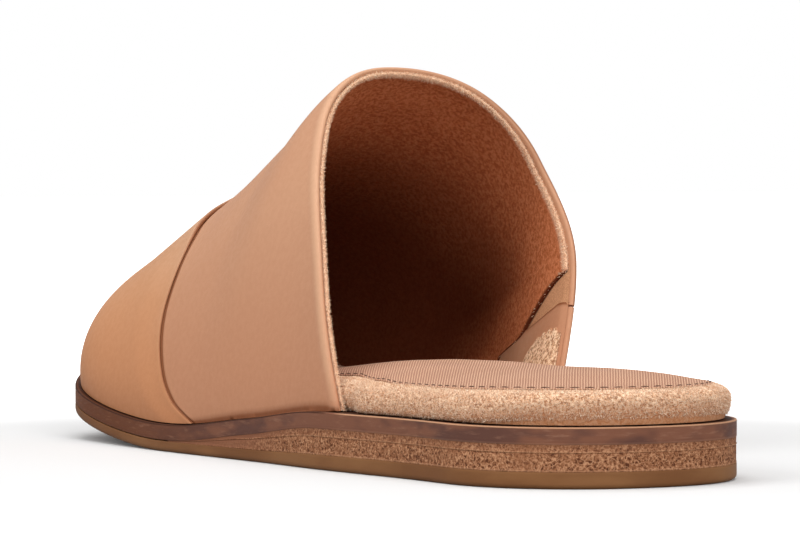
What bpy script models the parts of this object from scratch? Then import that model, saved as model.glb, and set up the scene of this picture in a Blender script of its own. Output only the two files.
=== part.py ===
"""Left slip-on house slipper (mule), built the way a shoemaker stacks it.

The pieces, from the floor up: rubber outsole, stacked wedge, midsole band, cushioned footbed,
sock cloth, and one hollow leather upper with a slit on its medial side. The slit leaves a small
side tab, and a strip of elastic gore bridges it from the inside.

Sizes are in millimetres and become metres as each vertex is placed. The shoe's own directions:
"from_heel" runs forward from the back of the heel, "lateral" is positive towards the little toe
and negative towards the big toe, "height" is up from the floor. In the scene the toe points to
-Y, the lateral side to +X and the sole stands on z = 0.
"""

from collections import namedtuple
import math

import bmesh
import bpy

MM = 0.001
GAP = 0.3  # clearance between pieces that touch on the real shoe

# --- sole outline ---------------------------------------------------------------------------
LENGTH = 258.0
HEEL_ROUND = 36.0  # length over which the heel end closes
HEEL_POWER = 2.2
TOE_ROUND = 49.5  # length over which the toe end closes
TOE_POWER = 2.7
OutlineRow = namedtuple("OutlineRow", "from_heel half_width centre")
OUTLINE = (
    OutlineRow(0.0, 36.9, 0.0),
    OutlineRow(38.0, 36.9, 0.0),
    OutlineRow(100.0, 37.0, 4.4),
    OutlineRow(180.0, 47.0, -2.0),
    OutlineRow(222.0, 43.6, 0.0),
    OutlineRow(LENGTH, 34.5, -3.4),
)

# --- sole thickness -------------------------------------------------------------------------
TOE_SPRING = 14.5
SPRING_LENGTH = 88.0
SPRING_POWER = 1.8
BAND_THICKNESS = 4.1
LayerRow = namedtuple("LayerRow", "from_heel outsole wedge footbed")
LAYERS = (
    LayerRow(0.0, 3.8, 6.0, 7.4),
    LayerRow(60.0, 3.7, 6.1, 7.0),
    LayerRow(90.0, 3.5, 6.1, 7.6),
    LayerRow(126.0, 2.8, 3.3, 8.4),
    LayerRow(166.0, 2.6, 0.0, 7.6),
    LayerRow(205.0, 2.6, 0.0, 6.4),
    LayerRow(LENGTH, 3.2, 0.0, 5.8),
)
WEDGE_FRONT = 155.0  # where the wedge has tapered to a feather edge
# Side profiles from the bottom up: inset from the sole's edge, and share of the layer's height.
ProfileRow = namedtuple("ProfileRow", "inset share")
OUTSOLE_PROFILE = (
    ProfileRow(1.30, 0.00),
    ProfileRow(0.45, 0.10),
    ProfileRow(0.10, 0.32),
    ProfileRow(0.00, 0.93),
    ProfileRow(0.25, 1.00),
)
WEDGE_PROFILE = (
    ProfileRow(0.30, 0.00),
    ProfileRow(0.05, 0.06),
    ProfileRow(0.05, 0.74),
    ProfileRow(0.50, 0.79),  # groove under the thin top lamina
    ProfileRow(0.10, 0.84),
    ProfileRow(0.30, 1.00),
)
BAND_PROFILE = (
    ProfileRow(0.30, 0.00),
    ProfileRow(0.00, 0.07),
    ProfileRow(0.00, 0.88),
    ProfileRow(0.45, 1.00),
)

# --- footbed --------------------------------------------------------------------------------
FOOTBED_INSET = 1.3  # behind the upper, measured from the sole's edge
FOOTBED_TUCK = 4.5  # how much further in it goes where the upper wraps it
FOOTBED_TOE_TUCK = 3.0  # and again towards the toe, between these two places
TOE_TUCK_START = 188.0
TOE_TUCK_END = 233.0
TUCK_CLEARANCE = 1.2
TUCK_LENGTH = 11.0  # it goes in over this length, just behind the upper on either side
FOOTBED_PROFILE = (
    ProfileRow(1.00, 0.000),
    ProfileRow(0.30, 0.140),
    ProfileRow(0.00, 0.420),
    ProfileRow(0.50, 0.680),
    ProfileRow(1.90, 0.880),
    ProfileRow(4.00, 0.985),
    ProfileRow(6.20, 1.000),
)
FOOTBED_CROWN = 2.6  # rise of the middle over the rounded edge
CROWN_START = FOOTBED_PROFILE[-1].inset
CROWN_WIDTH = 22.0
CROWN_INSETS = (11.0, 18.0, 27.0)  # loops that carry the crown
SOCK_INSET = 4.2  # from the footbed's side to the cloth's edge
SOCK_THICKNESS = 0.8
SOCK_BEVEL = 0.4
SOCK_CLEARANCE = 0.4  # over the footbed's facets

# --- upper ----------------------------------------------------------------------------------
UPPER_INSET = 2.6  # from the sole's edge to the leather
UPPER_TOE = LENGTH - UPPER_INSET
LEATHER = 1.3
LINING = 1.1
TOE_PIECE_STEP = 1.2  # how far the toe piece stands over the vamp along the seam
TOE_TOP_ROUND = 33.0
TOE_TOP_POWER = 2.3
RIDGE_RETURN = 40.0  # over this length at the toe the ridge runs back to the sole's centre line
EDGE_ROLL = 0.7  # how far the folded edge bulges past the wall's two faces
CUT_ROLL = 0.15  # and how far a plain cut edge does
SEAM_SLOPE = 0.9  # length on either side of the seam over which the wall changes
SEAM_LIP = 0.3  # where the toe piece's folded lip starts to drop
SEAM_LIP_SHARE = 0.6
SEAM_GROOVE = 0.15
SectionRow = namedtuple(
    "SectionRow",
    "from_heel ridge_height ridge_lateral lateral_power medial_power lateral_swell medial_swell",
)
SECTIONS = (
    SectionRow(80.0, 104.0, -1.0, 2.07, 2.25, -2.2, 22.8),
    SectionRow(110.0, 100.5, -6.0, 2.05, 2.13, -3.6, 21.0),
    SectionRow(140.0, 99.4, -8.8, 2.00, 2.04, -2.2, 16.2),
    SectionRow(160.0, 89.6, -10.8, 1.87, 1.98, -1.3, 12.0),
    SectionRow(180.0, 77.9, -11.6, 1.85, 1.94, -0.2, 9.2),
    SectionRow(200.0, 67.0, -11.2, 1.87, 1.91, 0.6, 7.5),
    SectionRow(225.0, 52.0, -11.6, 1.89, 1.88, 2.8, 5.1),
    SectionRow(255.4, 39.4, -10.4, 1.96, 1.82, 0.0, 0.0),
)
GirthRow = namedtuple("GirthRow", "angle topline")
GIRTH = (
    GirthRow(0.0, 85.0),
    GirthRow(11.0, 94.2),
    GirthRow(22.5, 104.2),
    GirthRow(45.0, 124.6),
    GirthRow(67.5, 140.1),
    GirthRow(90.0, 145.8),
    GirthRow(135.0, 131.6),
    GirthRow(157.5, 110.2),
    GirthRow(180.0, 95.0),
)
SeamRow = namedtuple("SeamRow", "angle seam")
SEAM_LINE = (
    SeamRow(0.0, 155.8),
    SeamRow(5.0, 167.6),
    SeamRow(11.0, 174.5),
    SeamRow(22.5, 181.2),
    SeamRow(35.0, 184.7),
    SeamRow(45.0, 188.3),
    SeamRow(54.0, 193.4),
    SeamRow(67.5, 198.5),
    SeamRow(90.0, 195.5),
    SeamRow(112.5, 187.0),
    SeamRow(135.0, 175.0),
    SeamRow(157.5, 162.0),
    SeamRow(180.0, 152.0),
)

# --- slit, side tab and gore on the medial side ------------------------------------------------
SLIT_ANGLE = 165.5  # girth angle where the slit leaves the topline
SLIT_BASE = 139.0  # where it reaches the sole
SLIT_CURVE = 1.75  # how long it runs forward before it turns down
SLIT_DROP = 0.3  # girth angle between the slit's two edges
LINING_ANGLE = 157.8  # girth angle where the lining's end leaves the topline
LINING_END = 0.5  # girth angle over which the wall thins at the lining's end
LINING_SLOPE = 1.95  # how fast it runs forward per degree
LINING_SETBACK = 2.0  # from the rear edge
LINING_BEVEL = 0.6
PATCH_ANGLE = 170.6  # the lining covers everything below this girth angle
GORE_THICKNESS = 0.7
GORE_CLEARANCE = 0.35  # between its face and the leather's inside
GORE_MARGIN = 2.2  # from the topline
GORE_TUCK = 1.5  # from the lining's end
GORE_TOP_GAP = 1.5  # girth angle between the lining's end and the strip's upper end
GORE_LOW_GAP = 0.6  # girth angle above the slit station where the strip ends

# --- mesh density ---------------------------------------------------------------------------
SOLE_STATIONS = 44
GIRTH_STEPS = 28
LINING_STEPS = 2
SLIT_STEPS = 8
TOE_ROWS = 10
TOE_ROW_SPREAD = 1.9  # rows lie closer together towards the toe's end
VAMP_ROWS = 7
REAR_ROWS = 2
TAB_ROWS = 5
GORE_ROWS = 5
GORE_STEPS = 8
NORMAL_REACH = 0.4  # half the run along the shoe that a normal is taken over
NORMAL_ANGLE = 2.0  # half the girth angle that it is taken over
SHARP_ANGLE = 40.0


def column(rows, name, at):
    """Read one column of a table at any place, with a monotone cubic between its rows."""
    places = [row[0] for row in rows]
    values = [getattr(row, name) for row in rows]
    last = len(rows) - 1
    slopes = [(values[i + 1] - values[i]) / (places[i + 1] - places[i]) for i in range(last)]
    tangents = [slopes[0]]
    for i in range(1, last):
        before, after = slopes[i - 1], slopes[i]
        tangents.append(0.0 if before * after <= 0 else 2 * before * after / (before + after))
    tangents.append(slopes[-1])
    if at <= places[0]:
        return values[0] + tangents[0] * (at - places[0])
    if at >= places[last]:
        return values[last] + tangents[last] * (at - places[last])
    i = max(k for k in range(last) if places[k] <= at)
    span = places[i + 1] - places[i]
    t = (at - places[i]) / span
    start_value = values[i] * (1 + 2 * t) * (1 - t) ** 2
    end_value = values[i + 1] * t * t * (3 - 2 * t)
    start_slope = tangents[i] * t * (1 - t) ** 2
    end_slope = tangents[i + 1] * t * t * (t - 1)
    return start_value + end_value + span * (start_slope + end_slope)


def smooth_step(value, start, end):
    """Rise from 0 at start to 1 at end with level ends."""
    t = min(max((value - start) / (end - start), 0.0), 1.0)
    return t * t * (3 - 2 * t)


def end_round(distance, length, power):
    """Share of the full width at a distance from a rounded end."""
    if distance >= length:
        return 1.0
    distance = max(distance, 0.0)
    return (1 - (1 - distance / length) ** power) ** (1 / power)


def outline(from_heel, inset=0.0):
    """Lateral and medial edge of the sole, drawn in by an inset."""
    heel = end_round(from_heel - inset, HEEL_ROUND, HEEL_POWER)
    toe = end_round(LENGTH - inset - from_heel, TOE_ROUND, TOE_POWER)
    half = (column(OUTLINE, "half_width", from_heel) - inset) * heel * toe
    centre = column(OUTLINE, "centre", from_heel)
    return centre + half, centre - half


def place(lateral, from_heel, height):
    """Turn the shoe's own millimetres into scene metres."""
    return (lateral * MM, (LENGTH / 2 - from_heel) * MM, height * MM)


def floor_line(from_heel):
    """Height of the outsole's underside, level up to the toe spring."""
    reach = max(1 - (LENGTH - from_heel) / SPRING_LENGTH, 0.0)
    return TOE_SPRING * reach**SPRING_POWER


def outsole_top(from_heel):
    return floor_line(from_heel) + column(LAYERS, "outsole", from_heel)


def band_low(from_heel):
    return outsole_top(from_heel) + GAP + column(LAYERS, "wedge", from_heel)


def band_top(from_heel):
    return band_low(from_heel) + BAND_THICKNESS


def wedge_low(from_heel):
    return outsole_top(from_heel) + GAP


def wedge_top(from_heel):
    return band_low(from_heel) - GAP


def footbed_inset(from_heel, side):
    """Distance from the sole's edge to the footbed's side; side is 1 lateral, -1 medial."""
    upper_end = topline(0.0 if side > 0 else 180.0) - TUCK_CLEARANCE
    tuck = FOOTBED_TUCK * smooth_step(from_heel, upper_end - TUCK_LENGTH, upper_end)
    toe_tuck = FOOTBED_TOE_TUCK * smooth_step(from_heel, TOE_TUCK_START, TOE_TUCK_END)
    return FOOTBED_INSET + tuck + toe_tuck


def crown(inset):
    """Rise of the footbed's top at an inset, from its rounded edge to its middle."""
    share = min(max((inset - CROWN_START) / CROWN_WIDTH, 0.0), 1.0)
    return FOOTBED_CROWN * math.sin(share * math.pi / 2)


def sole_ring(inset, height_at, front=None):
    """Lateral and medial half of one closed loop round the sole, both from heel to toe.

    inset is a number or a function of from_heel and side, and height_at a function of from_heel.
    A front place ends the loop straight across instead of at the toe.
    """
    inset_at = inset if callable(inset) else (lambda from_heel, side: inset)
    start = inset_at(0.0, 1)
    end = LENGTH - inset_at(LENGTH, 1) if front is None else front
    halves = ([], [])
    for i in range(SOLE_STATIONS + 1):
        if front is None:
            share = (1 - math.cos(math.pi * i / SOLE_STATIONS)) / 2
        else:
            share = 1 - math.cos(math.pi / 2 * i / SOLE_STATIONS)
        from_heel = start + (end - start) * share
        toe = end_round(end - from_heel, TOE_ROUND, TOE_POWER) if front is None else 1.0
        heel = end_round(from_heel - start, HEEL_ROUND, HEEL_POWER)
        centre = column(OUTLINE, "centre", from_heel)
        width = column(OUTLINE, "half_width", from_heel)
        height = height_at(from_heel)
        for half, side in zip(halves, (1, -1)):
            reach = (width - inset_at(from_heel, side)) * heel * toe
            half.append(place(centre + side * reach, from_heel, height))
    return halves


def ring_solid(name, rings, open_front=False):
    """Close a stack of sole rings into one solid."""
    mesh = bmesh.new()
    loops = []
    for lateral_side, medial_side in rings:
        lateral = [mesh.verts.new(point) for point in lateral_side]
        heel = lateral[0]
        inner = medial_side[1:] if open_front else medial_side[1:-1]
        medial = [heel] + [mesh.verts.new(point) for point in inner]
        if not open_front:
            medial.append(lateral[-1])
        loops.append((lateral, medial))
    for low, high in zip(loops, loops[1:]):
        for low_side, high_side in zip(low, high):
            for i in range(SOLE_STATIONS):
                mesh.faces.new((low_side[i], low_side[i + 1], high_side[i + 1], high_side[i]))
        if open_front:
            mesh.faces.new((low[0][-1], low[1][-1], high[1][-1], high[0][-1]))
    for lateral, medial in (loops[0], loops[-1]):
        for i in range(SOLE_STATIONS):
            corners = [lateral[i], lateral[i + 1], medial[i + 1], medial[i]]
            face = list(dict.fromkeys(corners))
            mesh.faces.new(face)
    return link_solid(name, mesh)


def link_solid(name, mesh):
    """Turn a closed bmesh outward and link it as a named object."""
    bmesh.ops.recalc_face_normals(mesh, faces=mesh.faces)
    if mesh.calc_volume(signed=True) < 0:
        bmesh.ops.reverse_faces(mesh, faces=mesh.faces)
    data = bpy.data.meshes.new(name)
    mesh.to_mesh(data)
    mesh.free()
    data.shade_smooth()
    data.set_sharp_from_angle(angle=math.radians(SHARP_ANGLE))
    piece = bpy.data.objects.new(name, data)
    bpy.context.collection.objects.link(piece)
    return piece


def centre_over_origin(pieces):
    """Slide all pieces sideways until the whole shoe's box is centred on x = 0."""
    across = [vertex.co.x for piece in pieces for vertex in piece.data.vertices]
    middle = (min(across) + max(across)) / 2
    for piece in pieces:
        for vertex in piece.data.vertices:
            vertex.co.x -= middle


def material(piece, colour, roughness):
    """Give a piece its own plain finish."""
    surface = bpy.data.materials.new(piece.name)
    surface.use_nodes = True
    shader = surface.node_tree.nodes["Principled BSDF"]
    shader.inputs["Base Color"].default_value = (*colour, 1.0)
    shader.inputs["Roughness"].default_value = roughness
    piece.data.materials.append(surface)


def layer_rings(low, high, profile, front=None):
    """Rings of a sole layer between two heights, drawn in by its side profile."""

    def height_at(share):
        return lambda from_heel: low(from_heel) + (high(from_heel) - low(from_heel)) * share

    return [sole_ring(row.inset, height_at(row.share), front) for row in profile]


def make_outsole():
    """Rubber bottom layer with a rounded lower edge."""
    return ring_solid("outsole", layer_rings(floor_line, outsole_top, OUTSOLE_PROFILE))


def make_wedge():
    """Stacked wedge under heel and arch, with a thin top lamina set off by a groove."""
    rings = layer_rings(wedge_low, wedge_top, WEDGE_PROFILE, WEDGE_FRONT)
    return ring_solid("stacked_wedge", rings, open_front=True)


def make_band():
    """Smooth top band that follows the whole sole and carries the upper."""
    return ring_solid("midsole_band", layer_rings(band_low, band_top, BAND_PROFILE))


def footbed_ring(inset, share, lift=0.0):
    """Ring at an inset from the footbed's side and a share of its height, lifted over its top."""

    def height(from_heel):
        thickness = column(LAYERS, "footbed", from_heel)
        return band_top(from_heel) + GAP + share * thickness + crown(inset) + lift

    return sole_ring(lambda from_heel, side: footbed_inset(from_heel, side) + inset, height)


def make_footbed():
    """Cushioned footbed: a bulging side, a rounded edge and a crowned top."""
    rings = [footbed_ring(row.inset, row.share) for row in FOOTBED_PROFILE]
    rings += [footbed_ring(inset, 1.0) for inset in CROWN_INSETS]
    return ring_solid("footbed", rings)


def make_sock():
    """Cloth on the footbed's crown."""
    top = SOCK_CLEARANCE + SOCK_THICKNESS
    rings = [footbed_ring(inset, 1.0, SOCK_CLEARANCE) for inset in reversed(CROWN_INSETS)]
    rings.append(footbed_ring(SOCK_INSET, 1.0, SOCK_CLEARANCE))
    rings.append(footbed_ring(SOCK_INSET + SOCK_BEVEL, 1.0, top))
    rings += [footbed_ring(inset, 1.0, top) for inset in CROWN_INSETS]
    return ring_solid("sock_cloth", rings)


def upper_point(from_heel, angle):
    """Point on the upper's outer face; angle runs 0 at the lateral base to 180 at the medial."""
    lateral_edge, medial_edge = outline(from_heel, UPPER_INSET)
    base = band_top(from_heel) + GAP
    toe_distance = UPPER_TOE - from_heel
    rise = column(SECTIONS, "ridge_height", from_heel) - base
    rise *= end_round(toe_distance, TOE_TOP_ROUND, TOE_TOP_POWER)
    centre = column(OUTLINE, "centre", from_heel)
    lean = min(max(toe_distance, 0.0) / RIDGE_RETURN, 1.0)
    ridge = centre + (column(SECTIONS, "ridge_lateral", from_heel) - centre) * lean
    cosine = math.cos(math.radians(angle))
    sine = max(math.sin(math.radians(angle)), 0.0)
    side = "lateral" if cosine >= 0 else "medial"
    edge = lateral_edge if cosine >= 0 else medial_edge
    power = column(SECTIONS, side + "_power", from_heel)
    swell = column(SECTIONS, side + "_swell", from_heel) * 2 * cosine * sine
    across = ridge + (edge - ridge) * abs(cosine) ** (2 / power) + swell
    return across, from_heel, base + rise * sine ** (2 / power)


def upper_normal(from_heel, angle):
    """Outward normal of the upper's outer face, level along its base."""
    far = min(from_heel + NORMAL_REACH, UPPER_TOE)
    along_a = upper_point(far - 2 * NORMAL_REACH, angle)
    along_b = upper_point(far, angle)
    girth_a = upper_point(from_heel, max(angle - NORMAL_ANGLE, 0.0))
    girth_b = upper_point(from_heel, min(angle + NORMAL_ANGLE, 180.0))
    along = [b - a for a, b in zip(along_a, along_b)]
    girth = [b - a for a, b in zip(girth_a, girth_b)]
    normal = [
        along[1] * girth[2] - along[2] * girth[1],
        along[2] * girth[0] - along[0] * girth[2],
        along[0] * girth[1] - along[1] * girth[0],
    ]
    if angle in (0.0, 180.0):
        normal[2] = 0.0
    size = math.sqrt(sum(value * value for value in normal))
    return [value / size for value in normal]


def wall_point(from_heel, angle, depth):
    """Point at a depth inside the upper's outer face; the base stays level with the band."""
    point = upper_point(from_heel, angle)
    normal = upper_normal(from_heel, angle)
    across, along, height = (value - depth * part for value, part in zip(point, normal))
    if angle in (0.0, 180.0):
        height = band_top(along) + GAP
    return across, along, height


def topline(angle):
    return column(GIRTH, "topline", angle)


def slit_line(angle):
    """Curve from the topline forward and then down to the sole."""
    share = min(max((angle - SLIT_ANGLE) / (180.0 - SLIT_ANGLE), 0.0), 1.0)
    start = topline(SLIT_ANGLE)
    return start + (SLIT_BASE - start) * share ** (1 / SLIT_CURVE)


def rear_edge(angle):
    """Where the upper ends towards the heel: the topline, then the slit."""
    return topline(angle) if angle <= SLIT_ANGLE else slit_line(angle)


def unlined(angle):
    return LINING_ANGLE < angle < PATCH_ANGLE


def lining_edge(angle):
    """Where the lining ends towards the heel."""
    least = rear_edge(angle) + LINING_SETBACK
    if not unlined(angle):
        return least
    slanted = topline(LINING_ANGLE) + LINING_SETBACK + LINING_SLOPE * (angle - LINING_ANGLE)
    return max(least, slanted)


def wall_depth(from_heel, angle):
    """Wall of leather and lining; only leather behind the lining's end on the medial side."""
    bare = unlined(angle) and from_heel < lining_edge(angle)
    return LEATHER if bare else LEATHER + LINING


def slit_angles():
    """Girth stations along the slit, even in its run forward, from the topline to the sole."""
    rest = 180.0 - SLIT_ANGLE
    shares = [(i / SLIT_STEPS) ** SLIT_CURVE for i in range(SLIT_STEPS + 1)]
    return [SLIT_ANGLE + rest * share for share in shares[:-1]] + [180.0]


def girth_angles():
    """Girth stations of the upper, with one where the lining's end and one where the slit starts."""
    angles = [LINING_ANGLE * i / GIRTH_STEPS for i in range(GIRTH_STEPS + 1)]
    bare = LINING_ANGLE + LINING_END
    rest = SLIT_ANGLE - bare
    angles += [bare + rest * i / LINING_STEPS for i in range(LINING_STEPS)]
    return angles + slit_angles()


def upper_row_places(angle):
    """Places of the upper's rows along one girth station, from toe to rear edge.

    Each is (from_heel, outward step): the toe piece stands proud of the vamp up to the seam.
    """
    seam = column(SEAM_LINE, "seam", angle)
    lining = lining_edge(angle)
    bevel = lining - LINING_BEVEL
    rear = rear_edge(angle)
    rows = []
    for i in range(1, TOE_ROWS):
        share = (i / TOE_ROWS) ** TOE_ROW_SPREAD
        rows.append((UPPER_TOE - (UPPER_TOE - seam) * share, TOE_PIECE_STEP))
    rows.append((seam + SEAM_SLOPE, TOE_PIECE_STEP))
    rows.append((seam + SEAM_LIP, TOE_PIECE_STEP * SEAM_LIP_SHARE))
    rows.append((seam, -SEAM_GROOVE))
    vamp = seam - SEAM_SLOPE
    for i in range(VAMP_ROWS):
        rows.append((vamp + (lining - vamp) * i / VAMP_ROWS, 0.0))
    rows.append((lining, 0.0))
    for i in range(REAR_ROWS + 1):
        rows.append((bevel + (rear - bevel) * i / REAR_ROWS, 0.0))
    return rows


def shell_solid(name, columns, poles=None):
    """Join columns of (outer, edge, inner) points into one closed shell.

    Each column is a run of outer points, one edge point and the inner run back again, so that
    neighbouring columns bridge into both faces and the rear edge at once. The first and last
    column are closed by strips. Poles are the outer and inner point where all columns start.
    """
    mesh = bmesh.new()
    grid = [[mesh.verts.new(place(*point)) for point in run] for run in columns]
    for before, after in zip(grid, grid[1:]):
        for i in range(len(before) - 1):
            mesh.faces.new((before[i], before[i + 1], after[i + 1], after[i]))
    pole_verts = [mesh.verts.new(place(*point)) for point in poles] if poles else []
    for before, after in zip(grid, grid[1:]):
        if pole_verts:
            mesh.faces.new((pole_verts[0], before[0], after[0]))
            mesh.faces.new((pole_verts[1], after[-1], before[-1]))
        else:
            mesh.faces.new((before[0], after[0], after[-1], before[-1]))
    for run in (grid[0], grid[-1]):
        full = ([pole_verts[0]] if pole_verts else []) + run + ([pole_verts[1]] if pole_verts else [])
        low, high = 0, len(full) - 1
        while high - low > 1:
            corners = [full[low], full[low + 1], full[high - 1], full[high]]
            mesh.faces.new(list(dict.fromkeys(corners)))
            low += 1
            high -= 1
    return link_solid(name, mesh)


def edge_point(angle, from_heel, depth, reach):
    """Middle of a folded edge, pushed out past the wall's two faces."""
    across, along, height = wall_point(from_heel, angle, depth / 2)
    return across, along + reach, height


def make_upper():
    """Hollow vamp and toe piece in one wall, open at the collar and underneath."""
    columns = []
    for angle in girth_angles():
        rows = upper_row_places(angle)
        outer = [wall_point(f, angle, -step) for f, step in rows]
        inner = [wall_point(f, angle, wall_depth(f, angle)) for f, step in reversed(rows)]
        rear = rows[-1][0]
        roll = EDGE_ROLL if angle <= SLIT_ANGLE else CUT_ROLL
        edge = edge_point(angle, rear, wall_depth(rear, angle), -roll)
        columns.append(outer + [edge] + inner)
    centre = column(OUTLINE, "centre", UPPER_TOE)
    poles = []
    for from_heel in (UPPER_TOE + TOE_PIECE_STEP, UPPER_TOE - LEATHER - LINING):
        poles.append((centre, from_heel, band_top(from_heel) + GAP))
    return shell_solid("upper", columns, poles)


def even_places(front, back, rows):
    """Places from front to back at equal steps."""
    return [front + (back - front) * i / rows for i in range(rows + 1)]


def make_side_tab():
    """Small leather corner behind the slit, lined below the patch line."""
    columns = []
    for slit_angle in slit_angles()[1:]:
        angle = min(slit_angle + SLIT_DROP, 180.0)
        back = topline(angle)
        depth = LEATHER if unlined(angle) else LEATHER + LINING
        places = even_places(slit_line(angle - SLIT_DROP) - GAP, back, TAB_ROWS)
        outer = [wall_point(f, angle, 0.0) for f in places]
        inner = [wall_point(f, angle, depth) for f in reversed(places)]
        columns.append(outer + [edge_point(angle, back, depth, -EDGE_ROLL)] + inner)
    return shell_solid("side_tab", columns)


def make_gore():
    """Elastic strip inside the slit, in the room that the lining leaves."""
    outer_depth = LEATHER + GORE_CLEARANCE
    high = LINING_ANGLE + GORE_TOP_GAP
    low = slit_angles()[SLIT_STEPS // 2] - GORE_LOW_GAP
    columns = []
    for angle in even_places(high, low, GORE_STEPS):
        front = lining_edge(angle) - GORE_TUCK
        places = even_places(front, topline(angle) + GORE_MARGIN, GORE_ROWS)
        outer = [wall_point(f, angle, outer_depth) for f in places]
        inner = [wall_point(f, angle, outer_depth + GORE_THICKNESS) for f in reversed(places)]
        columns.append(outer + inner)
    return shell_solid("elastic_gore", columns)


def main():
    for thing in list(bpy.data.objects):
        bpy.data.objects.remove(thing)
    finishes = (
        (make_outsole(), (0.32, 0.18, 0.09), 0.55),
        (make_wedge(), (0.28, 0.15, 0.09), 0.85),
        (make_band(), (0.24, 0.14, 0.10), 0.6),
        (make_footbed(), (0.62, 0.38, 0.23), 0.95),
        (make_sock(), (0.55, 0.33, 0.24), 0.9),
        (make_upper(), (0.60, 0.31, 0.17), 0.5),
        (make_side_tab(), (0.58, 0.29, 0.16), 0.5),
        (make_gore(), (0.52, 0.28, 0.16), 0.8),
    )
    for piece, colour, roughness in finishes:
        material(piece, colour, roughness)
    centre_over_origin([row[0] for row in finishes])


main()
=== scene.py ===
"""Looks of a left slip-on house slipper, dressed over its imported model.

Lengths are millimetres in the shoe's own directions until a mesh is made: "from_heel" runs forward
from the back of the heel, "lateral" is positive towards the little toe, and "height" is up from the
floor. A place on the upper is (from_heel, angle), where the girth angle runs from 0 degrees at the
lateral base over the instep to 180 at the medial base. In the scene the toe points to -Y.
"""

import logging
import math
from collections.abc import Callable, Sequence
from dataclasses import dataclass
from enum import Enum

import bmesh
import bpy
import numpy as np
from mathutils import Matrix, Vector


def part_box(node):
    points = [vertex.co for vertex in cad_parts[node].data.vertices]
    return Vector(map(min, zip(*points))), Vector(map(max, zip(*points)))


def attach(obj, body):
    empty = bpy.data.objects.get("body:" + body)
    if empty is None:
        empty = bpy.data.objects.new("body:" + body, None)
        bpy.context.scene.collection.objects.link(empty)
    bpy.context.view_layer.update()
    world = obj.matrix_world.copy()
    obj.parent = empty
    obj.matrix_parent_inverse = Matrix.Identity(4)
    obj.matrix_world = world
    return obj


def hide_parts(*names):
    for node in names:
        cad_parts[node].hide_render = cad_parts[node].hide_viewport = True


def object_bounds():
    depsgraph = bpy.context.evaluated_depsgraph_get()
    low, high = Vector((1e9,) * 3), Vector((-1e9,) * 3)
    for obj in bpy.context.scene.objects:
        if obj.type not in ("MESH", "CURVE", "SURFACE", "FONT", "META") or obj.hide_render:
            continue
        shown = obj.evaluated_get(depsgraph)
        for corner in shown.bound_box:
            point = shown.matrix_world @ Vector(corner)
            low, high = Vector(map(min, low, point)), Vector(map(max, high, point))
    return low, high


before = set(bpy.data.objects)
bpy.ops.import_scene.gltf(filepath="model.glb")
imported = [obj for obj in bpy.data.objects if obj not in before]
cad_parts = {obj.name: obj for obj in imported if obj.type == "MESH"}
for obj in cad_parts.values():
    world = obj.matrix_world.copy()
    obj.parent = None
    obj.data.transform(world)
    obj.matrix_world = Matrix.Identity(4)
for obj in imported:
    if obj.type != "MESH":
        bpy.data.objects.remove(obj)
CAD_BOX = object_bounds()

Array = np.ndarray
Colour = tuple[float, float, float]
log = logging.getLogger("slipper")
MM = 0.001
GAP = 0.3  # clearance between pieces that touch on the real shoe
WELD = 0.002  # points nearer than this are merged
LATERAL_BASE, MEDIAL_BASE = 0.0, 180.0  # girth angles at the upper's foot
SHARP_EDGE = math.radians(55)  # faces that meet at more than this are shaded with an edge


class Side(Enum):
    """The two long sides of the shoe and their directions, in the order that a loop runs."""

    LATERAL = 1
    MEDIAL = -1


class Spread(Enum):
    """How stations are spaced along a run."""

    EVEN = "even"
    ROUND_ENDS = "closer together at both ends"
    ROUND_START = "closer together at the start"


# --- reading the shoe's tables -----------------------------------------------------------------


class Table:
    """Rows of sizes under named columns, read between rows along the first column."""

    def __init__(self, names: str, *rows: Sequence[float]) -> None:
        """Keep the rows.

        Args:
            names: column names, separated by spaces.
            rows: one sequence of numbers for each row, rising in the first column.
        """
        self.columns = dict(zip(names.split(), np.array(rows, float).T))
        self.places = next(iter(self.columns.values()))

    def read(self, name: str, at: Array | float) -> Array:
        """Read one column at any place with a monotone cubic, straight on past its ends.

        Args:
            name: the column.
            at: places along the first column.

        Returns:
            The column's value at each place.
        """
        value, run = self.columns[name], np.diff(self.places)
        slope = np.diff(value) / run
        before, after = slope[:-1], slope[1:]
        same = before * after > 0
        inner = np.where(same, 2 * before * after / np.where(same, before + after, 1.0), 0.0)
        tangent = np.concatenate([slope[:1], inner, slope[-1:]])
        at = np.asarray(at, float)
        i = np.clip(np.searchsorted(self.places, at, side="right") - 1, 0, len(run) - 1)
        t = np.clip((at - self.places[i]) / run[i], 0.0, 1.0)
        curve = value[i] * (1 + 2 * t) * (1 - t) ** 2 + value[i + 1] * t * t * (3 - 2 * t)
        curve += run[i] * (tangent[i] * t * (1 - t) ** 2 + tangent[i + 1] * t * t * (t - 1))
        curve += tangent[0] * np.minimum(at - self.places[0], 0.0)
        return curve + tangent[-1] * np.maximum(at - self.places[-1], 0.0)


def smooth_step(value: Array, start: Array | float, end: Array | float) -> Array:
    """Rise from 0 at start to 1 at end with level ends.

    Args:
        value: where to read.
        start: value where the rise starts.
        end: value where it ends.

    Returns:
        The share risen.
    """
    t = np.clip((value - start) / (end - start), 0.0, 1.0)
    return t * t * (3 - 2 * t)


@dataclass(frozen=True)
class Fade:
    """Soft change along a run: how much, where it starts and where it is complete."""

    amount: float
    start: float
    end: float

    def at(self, value: Array) -> Array:
        """Amount reached at each value."""
        return self.amount * smooth_step(value, self.start, self.end)


@dataclass(frozen=True)
class Bell:
    """Soft rise beside a line: its height, its distance, and the width where a third is left."""

    height: float
    centre: float
    width: float

    def at(self, value: Array) -> Array:
        """Height at each distance from the line."""
        return self.height * np.exp(-(((value - self.centre) / self.width) ** 2))


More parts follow.
